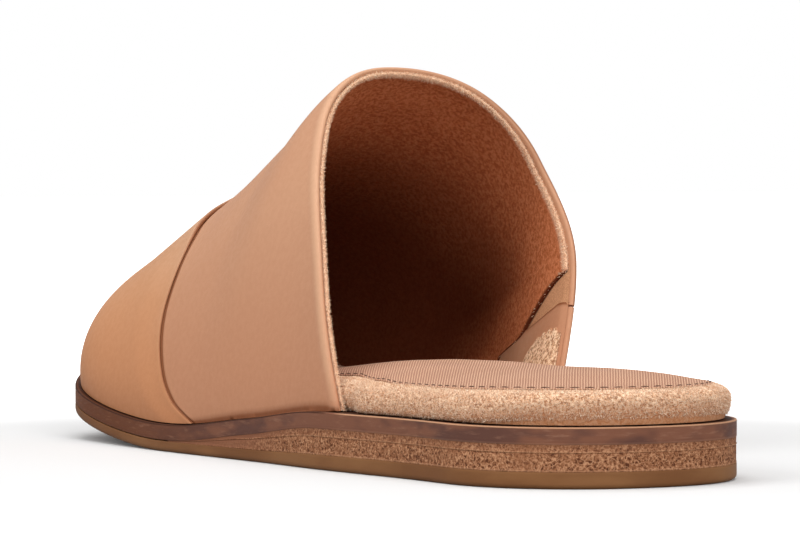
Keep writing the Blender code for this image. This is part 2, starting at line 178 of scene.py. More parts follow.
def end_round(distance: Array, length: float, power: float) -> Array:
    """Share of the full width at a distance from a rounded end.

    Args:
        distance: how far from the end.
        length: length over which the end closes.
        power: 2 for an ellipse, higher for a squarer end.

    Returns:
        0 at the end, 1 beyond the length.
    """
    share = np.clip(distance / length, 0.0, 1.0)
    return (1 - (1 - share) ** power) ** (1 / power)


def stations(start: float, end: float, steps: int, spread: Spread = Spread.EVEN) -> Array:
    """Places from start to end.

    Args:
        start: first place.
        end: last place.
        steps: number of intervals.
        spread: how they are spaced.

    Returns:
        steps + 1 places.
    """
    t = np.linspace(0.0, 1.0, steps + 1)
    if spread is Spread.ROUND_ENDS:
        t = (1 - np.cos(math.pi * t)) / 2
    elif spread is Spread.ROUND_START:
        t = 1 - np.cos(math.pi / 2 * t)
    return start + (end - start) * t


def ripple(points: Array, size: float, seed: int) -> Array:
    """Soft irregular waves between -1 and 1, the same on each run.

    Args:
        points: places in millimetres, last axis of three.
        size: typical distance between crests.
        seed: picks the waves.

    Returns:
        One value for each point.
    """
    random = np.random.default_rng(seed)
    waves = 7
    total = np.zeros(points.shape[:-1])
    for _ in range(waves):
        wave = random.normal(size=3)
        wave *= 2 * math.pi / (size * random.uniform(0.7, 1.6) * np.linalg.norm(wave))
        total += np.sin(points @ wave + random.uniform(0, 2 * math.pi))
    return total / waves


# --- the form of the shoe ----------------------------------------------------------------------


@dataclass(frozen=True)
class SoleForm:
    """Outline and layer heights of the sole."""

    length: float
    heel_round: float = 36.0
    heel_power: float = 2.2
    toe_round: float = 49.5
    toe_power: float = 2.7
    toe_spring: float = 14.5
    spring_length: float = 88.0
    spring_power: float = 1.8
    band_thickness: float = 4.1
    ring_steps: int = 150  # intervals along one side of a loop
    outline_rows: Table = Table(
        "from_heel half_width centre",
        (0, 36.9, 0.0),
        (38, 36.9, 0.0),
        (100, 37.0, 4.4),
        (180, 47.0, -2.0),
        (222, 43.6, 0.0),
        (258, 34.5, -3.4),
    )
    layer_rows: Table = Table(
        "from_heel outsole wedge footbed",
        (0, 3.8, 6.0, 7.4),
        (60, 3.7, 6.1, 7.0),
        (90, 3.5, 6.1, 7.6),
        (126, 2.8, 3.3, 8.4),
        (166, 2.6, 0.0, 7.6),
        (205, 2.6, 0.0, 6.4),
        (258, 3.2, 0.0, 5.8),
    )

    def centre(self, from_heel: Array) -> Array:
        """Lateral place of the sole's middle line."""
        return self.outline_rows.read("centre", from_heel)

    def outline(self, from_heel: Array, inset: float) -> tuple[Array, Array]:
        """Edges of the sole, drawn in by an inset.

        Args:
            from_heel: places along the shoe.
            inset: how far they are drawn in.

        Returns:
            Lateral places of the lateral edge and of the medial edge.
        """
        heel = end_round(from_heel - inset, self.heel_round, self.heel_power)
        toe = end_round(self.length - inset - from_heel, self.toe_round, self.toe_power)
        half = (self.outline_rows.read("half_width", from_heel) - inset) * heel * toe
        return self.centre(from_heel) + half, self.centre(from_heel) - half

    def floor_line(self, from_heel: Array) -> Array:
        """Height of the outsole's underside."""
        reach = np.maximum(1 - (self.length - from_heel) / self.spring_length, 0.0)
        return self.toe_spring * reach**self.spring_power

    def outsole_top(self, from_heel: Array) -> Array:
        """Height of the rubber's upper face."""
        return self.floor_line(from_heel) + self.layer_rows.read("outsole", from_heel)

    def wedge_low(self, from_heel: Array) -> Array:
        """Height of the wedge's underside."""
        return self.outsole_top(from_heel) + GAP

    def band_low(self, from_heel: Array) -> Array:
        """Height of the band's underside."""
        return self.wedge_low(from_heel) + self.layer_rows.read("wedge", from_heel)

    def band_top(self, from_heel: Array) -> Array:
        """Height of the band's upper face."""
        return self.band_low(from_heel) + self.band_thickness

    def ring(
        self,
        inset: Callable[[Array, Side], Array] | float,
        height: Callable[[Array, Side], Array],
        front: float | None = None,
    ) -> Array:
        """Closed loop round the sole: lateral side from heel to toe, medial side back again.

        Args:
            inset: distance inside the sole's edge, or a function of place and side.
            height: height as a function of place and side.
            front: where the loop ends straight across, or nothing for the rounded toe.

        Returns:
            The loop's points, the first repeated at the end.
        """

        def inset_at(at: Array, side: Side) -> Array:
            """Inset along one side."""
            return inset(at, side) if callable(inset) else np.full(at.shape, inset)

        ends = np.array([0.0, self.length])
        start = inset_at(ends, Side.LATERAL)[0]
        end = self.length - inset_at(ends, Side.LATERAL)[1] if front is None else front
        spread = Spread.ROUND_ENDS if front is None else Spread.ROUND_START
        place = stations(start, end, self.ring_steps, spread)
        close = end_round(place - start, self.heel_round, self.heel_power)
        if front is None:
            close = close * end_round(end - place, self.toe_round, self.toe_power)
        width = self.outline_rows.read("half_width", place)
        halves = []
        for side in Side:
            across = self.centre(place) + side.value * (width - inset_at(place, side)) * close
            halves.append(np.stack([across, place, height(place, side)], axis=-1))
        lateral, medial = halves
        return np.concatenate([lateral, medial[::-1]])


@dataclass(frozen=True)
class UpperForm:
    """Shape of the leather upper and the lines drawn on it."""

    sole: SoleForm
    inset: float = 2.6
    leather: float = 1.6
    lining: float = 0.8
    toe_step: float = 1.2
    toe_top_round: float = 33.0
    toe_top_power: float = 2.3
    ridge_return: float = 40.0
    slit_angle: float = 165.5
    slit_base: float = 139.0
    slit_curve: float = 1.75
    section_rows: Table = Table(
        "from_heel ridge_height ridge_lateral lateral_power medial_power lateral_swell medial_swell",
        (80, 104.0, -1.0, 2.07, 2.25, -2.2, 22.8),
        (110, 100.5, -6.0, 2.05, 2.13, -3.6, 21.0),
        (140, 99.4, -8.8, 2.00, 2.04, -2.2, 16.2),
        (160, 89.6, -10.8, 1.87, 1.98, -1.3, 12.0),
        (180, 77.9, -11.6, 1.85, 1.94, -0.2, 9.2),
        (200, 67.0, -11.2, 1.87, 1.91, 0.6, 7.5),
        (225, 52.0, -11.6, 1.89, 1.88, 2.8, 5.1),
        (255.4, 39.4, -10.4, 1.96, 1.82, 0.0, 0.0),
    )
    girth_rows: Table = Table(
        "angle topline",
        (0, 85.0), (11, 94.2), (22.5, 104.2), (45, 124.6), (67.5, 140.1),
        (90, 145.8), (135, 131.6), (157.5, 110.2), (180, 95.0),
    )
    seam_rows: Table = Table(
        "angle seam",
        (0, 155.8), (5, 167.6), (11, 174.5), (22.5, 181.2), (35, 184.7), (45, 188.3), (54, 193.4),
        (67.5, 198.5), (90, 195.5), (112.5, 187.0), (135, 175.0), (157.5, 162.0), (180, 152.0),
    )
    lining_end_rows: Table = Table(  # where the lining stops behind the slit, from the topline down
        "angle from_heel",
        (158.6, 109.2), (161.5, 117.8), (164.4, 123.1), (167.3, 127.6),
        (168.8, 129.6), (170.1, 135.7), (170.9, 144.7), (180.0, 151.0),
    )

    @property
    def toe(self) -> float:
        """Where the leather's outer face meets the sole at the toe."""
        return self.sole.length - self.inset

    def topline(self, angle: Array) -> Array:
        """Place of the collar's edge."""
        return self.girth_rows.read("topline", angle)

    def seam(self, angle: Array) -> Array:
        """Place of the seam between toe piece and vamp."""
        return self.seam_rows.read("seam", angle)

    def slit(self, angle: Array) -> Array:
        """Place of the slit, from the topline forward and down to the sole.

        Args:
            angle: girth angles.

        Returns:
            The place at each of them.
        """
        share = np.clip((angle - self.slit_angle) / (MEDIAL_BASE - self.slit_angle), 0.0, 1.0)
        start = self.topline(self.slit_angle)
        return start + (self.slit_base - start) * share ** (1 / self.slit_curve)

    def rear(self, angle: Array) -> Array:
        """Where the vamp ends towards the heel."""
        return np.where(angle <= self.slit_angle, self.topline(angle), self.slit(angle))

    def face(self, from_heel: Array, angle: Array) -> Array:
        """Point on the upper's outer face, without the toe piece's step.

        Args:
            from_heel: places along the shoe.
            angle: girth angles.

        Returns:
            Points as lateral, from_heel and height.
        """
        sole, rows = self.sole, self.section_rows
        from_heel, angle = np.broadcast_arrays(np.asarray(from_heel, float), angle)
        lateral_edge, medial_edge = sole.outline(from_heel, self.inset)
        base = sole.band_top(from_heel) + GAP
        left = self.toe - from_heel
        rise = rows.read("ridge_height", from_heel) - base
        rise = rise * end_round(left, self.toe_top_round, self.toe_top_power)
        centre = sole.centre(from_heel)
        lean = np.clip(left / self.ridge_return, 0.0, 1.0)
        ridge = centre + (rows.read("ridge_lateral", from_heel) - centre) * lean
        cosine = np.cos(np.radians(angle))
        sine = np.maximum(np.sin(np.radians(angle)), 0.0)
        outer = cosine >= 0
        edge = np.where(outer, lateral_edge, medial_edge)
        power, swell = (
            np.where(outer, rows.read(f"lateral_{k}", from_heel), rows.read(f"medial_{k}", from_heel))
            for k in ("power", "swell")
        )
        across = ridge + (edge - ridge) * np.abs(cosine) ** (2 / power) + swell * 2 * cosine * sine
        return np.stack([across, from_heel, base + rise * sine ** (2 / power)], axis=-1)

    def normal(self, from_heel: Array, angle: Array) -> Array:
        """Outward normal of the outer face, level along the base.

        Args:
            from_heel: places along the shoe.
            angle: girth angles.

        Returns:
            Unit vectors.
        """
        reach, turn = 0.4, 2.0  # millimetres and degrees to the neighbours it is taken from
        from_heel, angle = np.broadcast_arrays(np.asarray(from_heel, float), angle)
        far = np.minimum(from_heel + reach, self.toe)
        along = self.face(far, angle) - self.face(far - 2 * reach, angle)
        over = self.face(from_heel, np.minimum(angle + turn, MEDIAL_BASE))
        girth = over - self.face(from_heel, np.maximum(angle - turn, LATERAL_BASE))
        normal = np.cross(along, girth)
        normal[..., 2] *= (angle > LATERAL_BASE) & (angle < MEDIAL_BASE)
        return normal / np.linalg.norm(normal, axis=-1, keepdims=True)

    def wall(self, from_heel: Array, angle: Array, depth: Array | float) -> Array:
        """Point at a depth inside the outer face.

        Args:
            from_heel: places along the shoe.
            angle: girth angles.
            depth: millimetres inwards, negative outwards.

        Returns:
            Points whose base stays level with the band.
        """
        from_heel, angle, depth = np.broadcast_arrays(np.asarray(from_heel, float), angle, depth)
        points = self.face(from_heel, angle) - depth[..., None] * self.normal(from_heel, angle)
        base = (angle <= LATERAL_BASE) | (angle >= MEDIAL_BASE)
        points[..., 2] = np.where(base, self.sole.band_top(points[..., 1]) + GAP, points[..., 2])
        return points


# --- meshes ------------------------------------------------------------------------------------


def run_length(points: Array, axis: int) -> Array:
    """Length run along one axis of a grid of points.

    Args:
        points: rows by columns of places.
        axis: 0 to run down the rows, 1 along them.

    Returns:
        Rows by columns of lengths, 0 at the start.
    """
    steps = np.linalg.norm(np.diff(points, axis=axis), axis=-1)
    pad = [(0, 0), (0, 0)]
    pad[axis] = (1, 0)
    return np.pad(np.cumsum(steps, axis=axis), pad)


def surface_uv(points: Array) -> Array:
    """Texture places that follow a grid in millimetres.

    Args:
        points: rows by columns of places.

    Returns:
        Rows by columns of lengths along the middle row and down each column.
    """
    across = run_length(points, 1)
    middle = across[len(across) // 2]
    down = run_length(points, 0)
    return np.stack([np.broadcast_to(middle, across.shape), down], axis=-1)


def link(name: str, data: bpy.types.ID) -> bpy.types.Object:
    """Put data into the scene as a new object.

    Args:
        name: the object's name.
        data: its mesh, curve, light or camera.

    Returns:
        The object.
    """
    thing = bpy.data.objects.new(name, data)
    bpy.context.scene.collection.objects.link(thing)
    return thing


class MeshMaker:
    """Collects grids of points and turns them into one mesh with UVs in millimetres."""

    def __init__(self, name: str, origin: Vector) -> None:
        """Start an empty mesh.

        Args:
            name: the piece's name.
            origin: scene place, in millimetres, of the shoe's own zero.
        """
        self.name = name
        self.origin = np.array(origin)
        self.points: list[Array] = []
        self.uvs: list[Array] = []
        self.tones: list[Array] = []
        self.quads: list[Array] = []
        self.count = 0

    def grid(self, points: Array, tone: Array | float) -> Array:
        """Add a sheet of quads.

        Args:
            points: rows by columns of places.
            tone: colour shift of each point, read by the finishes.

        Returns:
            The points' indices, rows by columns.
        """
        rows, columns = points.shape[:2]
        index = self.count + np.arange(rows * columns).reshape(rows, columns)
        self.points.append(points.reshape(-1, 3))
        self.uvs.append(surface_uv(points).reshape(-1, 2))
        self.tones.append(np.broadcast_to(tone, (rows, columns)).reshape(-1))
        corners = (index[:-1, :-1], index[1:, :-1], index[1:, 1:], index[:-1, 1:])
        self.quads.append(np.stack([c.reshape(-1) for c in corners], axis=1))
        self.count += rows * columns
        return index

    def bridge(self, first: Array, second: Array) -> None:
        """Join two rows of indices with quads."""
        self.quads.append(np.stack([first[:-1], first[1:], second[1:], second[:-1]], axis=1))

    def cap(self, loop: Array) -> None:
        """Close a loop by joining its two halves, point by point."""
        half = len(loop) // 2
        self.bridge(loop[:half], loop[::-1][:half])

    def stack(self, rings: Array, tone: Array | float) -> None:
        """Add rings round the sole, from the bottom up, and close the lowest and the highest.

        Args:
            rings: rings by points.
            tone: colour shift of each point.
        """
        index = self.grid(rings, tone)
        self.cap(index[0])
        self.cap(index[-1])

    def make(self) -> bpy.types.Object:
        """Weld what meets, turn the faces outwards and link the piece at the scene's origin."""
        mesh = bpy.data.meshes.new(self.name)
        points = (np.concatenate(self.points) + self.origin) * MM
        points[:, 1] *= -1
        quads = np.concatenate(self.quads)
        mesh.from_pydata(points, [], quads)
        uv = np.concatenate(self.uvs)[quads.reshape(-1)]
        mesh.uv_layers.new(name="surface").data.foreach_set("uv", uv.astype(np.float32).reshape(-1))
        tone = mesh.attributes.new("tone", "FLOAT", "POINT")
        tone.data.foreach_set("value", np.concatenate(self.tones).astype(np.float32))
        work = bmesh.new()
        work.from_mesh(mesh)
        bmesh.ops.remove_doubles(work, verts=work.verts, dist=WELD * MM)
        bmesh.ops.recalc_face_normals(work, faces=work.faces)
        if work.calc_volume(signed=True) < 0:
            bmesh.ops.reverse_faces(work, faces=work.faces)
        work.to_mesh(mesh)
        work.free()
        mesh.shade_smooth()
        mesh.set_sharp_from_angle(angle=SHARP_EDGE)
        return link(self.name, mesh)


# --- finishes ----------------------------------------------------------------------------------

Socket = bpy.types.NodeSocket
Value = Socket | float | str | Sequence[float] | bpy.types.ID


class Wiring:
    """Nodes of one tree, added and wired by short calls."""

    def __init__(self, tree: bpy.types.NodeTree) -> None:
        """Take over a tree."""
        self.nodes, self.links = tree.nodes, tree.links

    def put(self, socket: Socket, value: Value) -> None:
        """Wire a socket to another, or set its own value.

        Args:
            socket: the input.
            value: an output to wire it to, or the value it gets.
        """
        if isinstance(value, Socket):
            self.links.new(value, socket)
        elif socket.type == "RGBA":
            socket.default_value = (*value, 1.0)
        else:
            socket.default_value = value

    def add(self, kind: str, inputs: dict[str | int, Value], **settings: object) -> bpy.types.Node:
        """Add a node.

        Args:
            kind: the node's type.
            inputs: values or sockets by input name or number.
            **settings: the node's own properties.

        Returns:
            The node.
        """
        node = self.nodes.new(kind)
        for name, value in settings.items():
            setattr(node, name, value)
        for key, value in inputs.items():
            self.put(node.inputs[key], value)
        return node

    def math(self, how: str, a: Value, b: Value = 0.0) -> Socket:
        """Arithmetic on two values."""
        return self.add("ShaderNodeMath", {0: a, 1: b}, operation=how).outputs[0]


class Paint(Wiring):
    """Shader nodes of one finish."""

    def __init__(self, name: str) -> None:
        """Start a material with a bare principled shader.

        Args:
            name: the material's name.
        """
        self.material = bpy.data.materials.new(name)
        self.material.use_nodes = True
        super().__init__(self.material.node_tree)
        self.shader = self.nodes["Principled BSDF"]

    def place(self, stretch: Sequence[float] = (1, 1, 1), turn: float = 0.0) -> Socket:
        """Object coordinates in millimetres.

        Args:
            stretch: how much longer the pattern gets along each axis.
            turn: degrees the pattern is turned about the vertical.

        Returns:
            The coordinates' socket.
        """
        scale = [1 / (MM * s) for s in stretch]
        source = self.add("ShaderNodeTexCoord", {}).outputs["Object"]
        inputs = {"Vector": source, "Scale": scale, "Rotation": (0, 0, math.radians(turn))}
        return self.add("ShaderNodeMapping", inputs).outputs[0]

    def part(self, vector: Socket, axis: str) -> Socket:
        """One axis of a vector."""
        return self.add("ShaderNodeSeparateXYZ", {0: vector}).outputs[axis]

    def stored(self, name: str) -> Socket:
        """A value stored on the piece's points."""
        return self.add("ShaderNodeAttribute", {}, attribute_name=name).outputs["Fac"]

    def toned(
        self, colour: Socket, above: Colour, below: Colour | None = None, most: Sequence[float] = (1, 1)
    ) -> Socket:
        """Shift a colour by the tone stored on the piece's points.

        Args:
            colour: what it is where the tone is 0.
            above: what it becomes at a tone of 1.
            below: what it becomes at a tone of -1, if anything.
            most: shares of the two changes that are reached.

        Returns:
            The colour's socket.
        """
        tone = self.stored("tone")
        colour = self.mix(self.fit(tone, 0.0, 1.0, to_high=most[0]), colour, above)
        if below is None:
            return colour
        return self.mix(self.fit(tone, 0.0, -1.0, to_high=most[1]), colour, below)

    def noise(self, at: Socket, size: float, detail: float = 2.0, rough: float = 0.5) -> Socket:
        """Cloudy noise.

        Args:
            at: coordinates in millimetres.
            size: distance between its blots.
            detail: number of finer layers.
            rough: how strong these are.

        Returns:
            A value round 0.5.
        """
        inputs = {"Vector": at, "Scale": 1 / size, "Detail": detail, "Roughness": rough}
        return self.add("ShaderNodeTexNoise", inputs).outputs["Fac"]

    def cells(self, at: Socket, size: float) -> Socket:
        """Distance from the middle of cells of a size in millimetres."""
        return self.add("ShaderNodeTexVoronoi", {"Vector": at, "Scale": 1 / size}).outputs["Distance"]

    def wave(self, value: Socket, length: float) -> Socket:
        """Sine wave of a length in millimetres."""
        return self.math("SINE", self.math("MULTIPLY", value, 2 * math.pi / length))

    def fit(
        self, value: Value, low: float, high: float, to_low: float = 0.0, to_high: float = 1.0
    ) -> Socket:
        """Map a range of a value softly onto another range.

        Args:
            value: what is read.
            low: where the change starts.
            high: where it ends; it may be below low.
            to_low: result at low and before it.
            to_high: result at high and beyond it.

        Returns:
            The result's socket.
        """
        inputs = {"Value": value, 1: low, 2: high, 3: to_low, 4: to_high}
        return self.add("ShaderNodeMapRange", inputs, interpolation_type="SMOOTHSTEP").outputs[0]

    def mix(self, share: Value, first: Value, second: Value) -> Socket:
        """Mix two colours by a share."""
        return self.add("ShaderNodeMix", {0: share, 6: first, 7: second}, data_type="RGBA").outputs[2]

    def bump(self, height: Socket, depth: float, below: Socket | None = None) -> Socket:
        """Relief from a height.

        Args:
            height: value from 0 to 1.
            depth: millimetres between 0 and 1.
            below: normal of a coarser relief underneath.

        Returns:
            The normal's socket.
        """
        inputs: dict[str | int, Value] = {"Strength": 1.0, "Distance": depth * MM, "Height": height}
        if below is not None:
            inputs["Normal"] = below
        return self.add("ShaderNodeBump", inputs).outputs[0]

    def done(self, **inputs: Value) -> bpy.types.Material:
        """Wire the principled shader; names have _ for a space."""
        for name, value in inputs.items():
            self.put(self.shader.inputs[name.replace("_", " ")], value)
        return self.material


@dataclass(frozen=True)
class Leather:
    """Smooth nubuck-like leather with faint clouds and pores, and painted shade and highlights from its
    stored tone.
    """

    name: str
    base: Colour
    cloud: Colour
    # dark flecks, and the painted shade where the stored tone is above 0
    dark: Colour
    # painted highlight where the stored tone is below 0
    light: Colour
    low: Colour  # painted shade: darker and warmer towards the sole, where less light falls
    roughness: float = 0.52
    high_end: float = 66.0  # height above which the painted low shade is gone
    # height below which the painted low shade is full
    low_end: float = 16.0
    flecked: float = 0.07

    def material(self) -> bpy.types.Material:
        """Build the material; a point's tone above 0 paints shade on it and below 0 paints a highlight.
        """
        paint = Paint(self.name)
        at = paint.place()
        clouds = paint.fit(paint.noise(at, size=26.0, detail=3.0), 0.35, 0.65)
        colour = paint.mix(clouds, self.base, self.cloud)
        # painted shade: darker and warmer towards the floor
        colour = paint.mix(paint.fit(paint.part(at, "Z"), self.high_end, self.low_end), colour, self.low)
        flecks = paint.fit(paint.noise(at, size=1.6, detail=4.0, rough=0.65), 0.3, 0.7)
        colour = paint.mix(paint.math("MULTIPLY", flecks, self.flecked), colour, self.dark)
        # painted shade and highlight from the stored tone
        colour = paint.toned(colour, self.dark, self.light)
        pores = paint.cells(at, size=0.55)
        folds = paint.noise(at, size=5.0, detail=3.0)
        relief = paint.bump(pores, depth=0.012, below=paint.bump(folds, depth=0.04))
        rough = paint.fit(flecks, 0.0, 1.0, to_low=self.roughness - 0.05, to_high=self.roughness + 0.06)
        return paint.done(
            Base_Color=colour, Roughness=rough, Normal=relief, Specular_IOR_Level=0.25,
        )


@dataclass(frozen=True)
class Suede:
    """Napped suede: light tips over a darker ground, in soft patches."""

    name: str
    light: Colour
    mid: Colour
    dark: Colour
    pale: Colour
    deep: Colour
    grain: float = 0.9
    sheen: float = 0.1

    def material(self) -> bpy.types.Material:
        """Build the material; tone goes to the deep colour above 0 and to the pale one below."""
        paint = Paint(self.name)
        at = paint.place()
        tips = paint.noise(at, size=self.grain, detail=2.0, rough=0.7)
        patches = paint.noise(at, size=12.0, detail=2.0)
        colour = paint.mix(paint.fit(tips, 0.38, 0.50), self.dark, self.mid)
        colour = paint.mix(paint.fit(tips, 0.50, 0.62), colour, self.light)
        colour = paint.mix(paint.fit(patches, 0.4, 0.7, to_high=0.12), colour, self.light)
        colour = paint.toned(colour, self.deep, self.pale, most=(0.92, 0.85))
        relief = paint.bump(tips, depth=0.30, below=paint.bump(patches, depth=0.10))
        return paint.done(
            Base_Color=colour, Roughness=0.95, Normal=relief, Specular_IOR_Level=0.05,
            Sheen_Weight=self.sheen, Sheen_Roughness=0.6, Sheen_Tint=self.light,
        )


@dataclass(frozen=True)
class Nap:
    """Single fibres, each with its own shade between two colours."""

    name: str
    light: Colour
    dark: Colour

    def material(self) -> bpy.types.Material:
        """Build the material from the shade stored on each fibre."""
        paint = Paint(self.name)
        colour = paint.mix(paint.stored("shade"), self.dark, self.light)
        return paint.done(
            Base_Color=colour, Roughness=0.9, Specular_IOR_Level=0.1, Sheen_Weight=0.3,
        )


@dataclass(frozen=True)
class RibbedCloth:
    """Fine diagonal rib weave."""

    name: str
    crown: Colour
    valley: Colour
    rib: float = 0.63
    thread: float = 0.8  # length of one stitch along a rib
    lean: float = 30.7  # degrees between the ribs and the shoe's length
    wander: float = 0.35  # how far a rib strays to the side
    knots: float = 0.35  # how strongly the stitches show, against the ribs

    def material(self) -> bpy.types.Material:
        """Build the weave on object coordinates."""
        paint = Paint(self.name)
        at = paint.place(turn=self.lean)
        wobble = paint.noise(paint.place(), size=1.1, detail=2.0)
        across = paint.math("ADD", paint.part(at, "X"), paint.math("MULTIPLY", wobble, self.wander))
        rib = paint.fit(paint.wave(across, self.rib), -0.8, 0.9)
        stitch = paint.fit(paint.wave(paint.part(at, "Y"), self.thread), -1.0, 1.0)
        height = paint.math("ADD", rib, paint.math("MULTIPLY", stitch, self.knots))
        colour = paint.mix(rib, self.valley, self.crown)
        soil = paint.fit(paint.noise(at, size=14.0, detail=3.0), 0.35, 0.7, to_high=0.25)
        colour = paint.mix(soil, colour, self.valley)
        colour = paint.toned(colour, self.valley)
        return paint.done(
            Base_Color=colour, Roughness=0.9, Normal=paint.bump(height, depth=0.12),
            Specular_IOR_Level=0.05, Sheen_Weight=0.05,
        )


@dataclass(frozen=True)
class StackedGrain:
    """Pressed leather board of a stacked wedge: pale and dark specks between thin laminae."""

    name: str
    pale: Colour
    mid: Colour
    dark: Colour
    seal: Colour  # smooth painted stretch towards the front

    def material(self) -> bpy.types.Material:
        """Build the speckle; tone above 0 smooths it over, and tone below 0 is a pale lamina edge."""
        paint = Paint(self.name)
        at = paint.place()
        field = paint.noise(at, size=1.5, detail=1.0, rough=0.6)
        worm = paint.math("ABSOLUTE", paint.math("SUBTRACT", field, 0.5))
        speck = paint.noise(at, size=0.7, detail=3.0, rough=0.75)
        wide = paint.noise(paint.place(stretch=(1, 1, 2)), size=9.0, detail=3.0)
        colour = paint.mix(paint.fit(speck, 0.40, 0.50), self.dark, self.mid)
        colour = paint.mix(paint.fit(speck, 0.54, 0.64, to_high=0.9), colour, self.pale)
        colour = paint.mix(paint.fit(worm, 0.030, 0.012, to_high=0.75), colour, self.pale)
        colour = paint.mix(paint.fit(wide, 0.5, 0.7, to_high=0.4), colour, self.mid)
        colour = paint.toned(colour, self.seal, self.pale)
        return paint.done(
            Base_Color=colour, Roughness=0.7, Normal=paint.bump(speck, depth=0.16),
            Specular_IOR_Level=0.12,
        )


@dataclass(frozen=True)
class BandLeather:
    """Dyed edge band with soft streaks along its length and a pale rim."""

    name: str
    base: Colour
    worn: Colour
    deep: Colour
    rim: Colour
    front: Colour
    # painted shade for the band's top, in the gap under the upper and the cushion
    crevice: Colour
    front_start: float = 5.0  # scene place where the front colour comes in, and where it is full
    front_full: float = -75.0

    def material(self) -> bpy.types.Material:
        """Build the streaks; tone below 0 is the pale rim and above 0 the painted shade in the gap under
        the upper.
        """
        paint = Paint(self.name)
        streak = paint.noise(paint.place(stretch=(5, 5, 0.8)), size=1.2, detail=4.0, rough=0.65)
        wide = paint.noise(paint.place(stretch=(1, 1, 0.4)), size=26.0, detail=3.0, rough=0.65)
        colour = paint.mix(paint.fit(wide, 0.46, 0.60), self.base, self.deep)
        ahead = paint.fit(paint.part(paint.place(), "Y"), self.front_start, self.front_full)
        colour = paint.mix(ahead, colour, self.front)
        colour = paint.mix(paint.fit(streak, 0.50, 0.78, to_high=0.6), colour, self.worn)
        colour = paint.toned(colour, self.crevice, self.rim)
        rough = paint.fit(streak, 0.3, 0.7, to_low=0.38, to_high=0.58)
        return paint.done(
            Base_Color=colour, Roughness=rough, Normal=paint.bump(streak, depth=0.05),
            Specular_IOR_Level=0.1,
        )


@dataclass(frozen=True)
class GumRubber:
    """Smooth gum rubber with a slightly cloudy body."""

    name: str
    base: Colour
    deep: Colour

    def material(self) -> bpy.types.Material:
        """Build the material; tone above 0 goes to the deep colour."""
        paint = Paint(self.name)
        clouds = paint.fit(paint.noise(paint.place(stretch=(3, 3, 1)), size=9.0, detail=4.0), 0.35, 0.7)
        colour = paint.mix(paint.math("MULTIPLY", clouds, 0.5), self.base, self.deep)
        colour = paint.toned(colour, self.deep)
        fine = paint.noise(paint.place(), size=0.7, detail=3.0)
        return paint.done(
            Base_Color=colour, Roughness=0.5, Normal=paint.bump(fine, depth=0.02),
            Specular_IOR_Level=0.12,
        )


@dataclass(frozen=True)
class Plain:
    """One plain colour with a faint grain, for thread and elastic; tone above 0 darkens it."""

    name: str
    base: Colour
    shade: Colour
    deep: Colour = (0.05, 0.015, 0.006)
    roughness: float = 0.8

    def material(self) -> bpy.types.Material:
        """Build the material."""
        paint = Paint(self.name)
        grain = paint.noise(paint.place(), size=0.4, detail=2.0)
        colour = paint.mix(paint.fit(grain, 0.35, 0.65), self.base, self.shade)
        colour = paint.toned(colour, self.deep)
        return paint.done(
            Base_Color=colour, Roughness=self.roughness, Normal=paint.bump(grain, depth=0.04),
            Specular_IOR_Level=0.1,
        )


# --- repeats made by geometry nodes --------------------------------------------------------------


class Repeat(Wiring):
    """A geometry nodes tree with named inputs, applied once and then taken away."""

    def __init__(self, name: str, sizes: dict[str, float]) -> None:
        """Start a tree.

        Args:
            name: the tree's name.
            sizes: named number inputs and their values.
        """
        self.tree = bpy.data.node_groups.new(name, "GeometryNodeTree")
        super().__init__(self.tree)
        face = self.tree.interface
        face.new_socket("Geometry", in_out="INPUT", socket_type="NodeSocketGeometry")
        face.new_socket("Geometry", in_out="OUTPUT", socket_type="NodeSocketGeometry")
        self.sizes = sizes
        self.keys = {
            size: face.new_socket(size, in_out="INPUT", socket_type="NodeSocketFloat").identifier
            for size in sizes
        }
        self.start = self.nodes.new("NodeGroupInput")
        self.end = self.nodes.new("NodeGroupOutput")

    def size(self, name: str) -> Socket:
        """Socket of a named input."""
        return self.start.outputs[name]

    def finish(self, instances: Socket, material: bpy.types.Material) -> None:
        """End the tree in realized instances with their material.

        Args:
            instances: geometry that holds the instances.
            material: what they are made of.
        """
        real = self.add("GeometryNodeRealizeInstances", {"Geometry": instances})
        done = self.add("GeometryNodeSetMaterial", {"Geometry": real.outputs[0], "Material": material})
        self.links.new(done.outputs[0], self.end.inputs[0])

    def apply(self, name: str, source: bpy.types.Object) -> bpy.types.Object:
        """Run the tree on an object and keep the result as a plain mesh.

        Args:
            name: the new piece's name.
            source: the object that carries the repeats, removed afterwards.

        Returns:
            The new piece.
        """
        modifier = source.modifiers.new(self.tree.name, "NODES")
        modifier.node_group = self.tree
        for size, value in self.sizes.items():
            modifier[self.keys[size]] = float(value)
        graph = bpy.context.evaluated_depsgraph_get()
        mesh = bpy.data.meshes.new_from_object(source.evaluated_get(graph), depsgraph=graph)
        bpy.data.objects.remove(source)
        mesh.name = name
        return link(name, mesh)


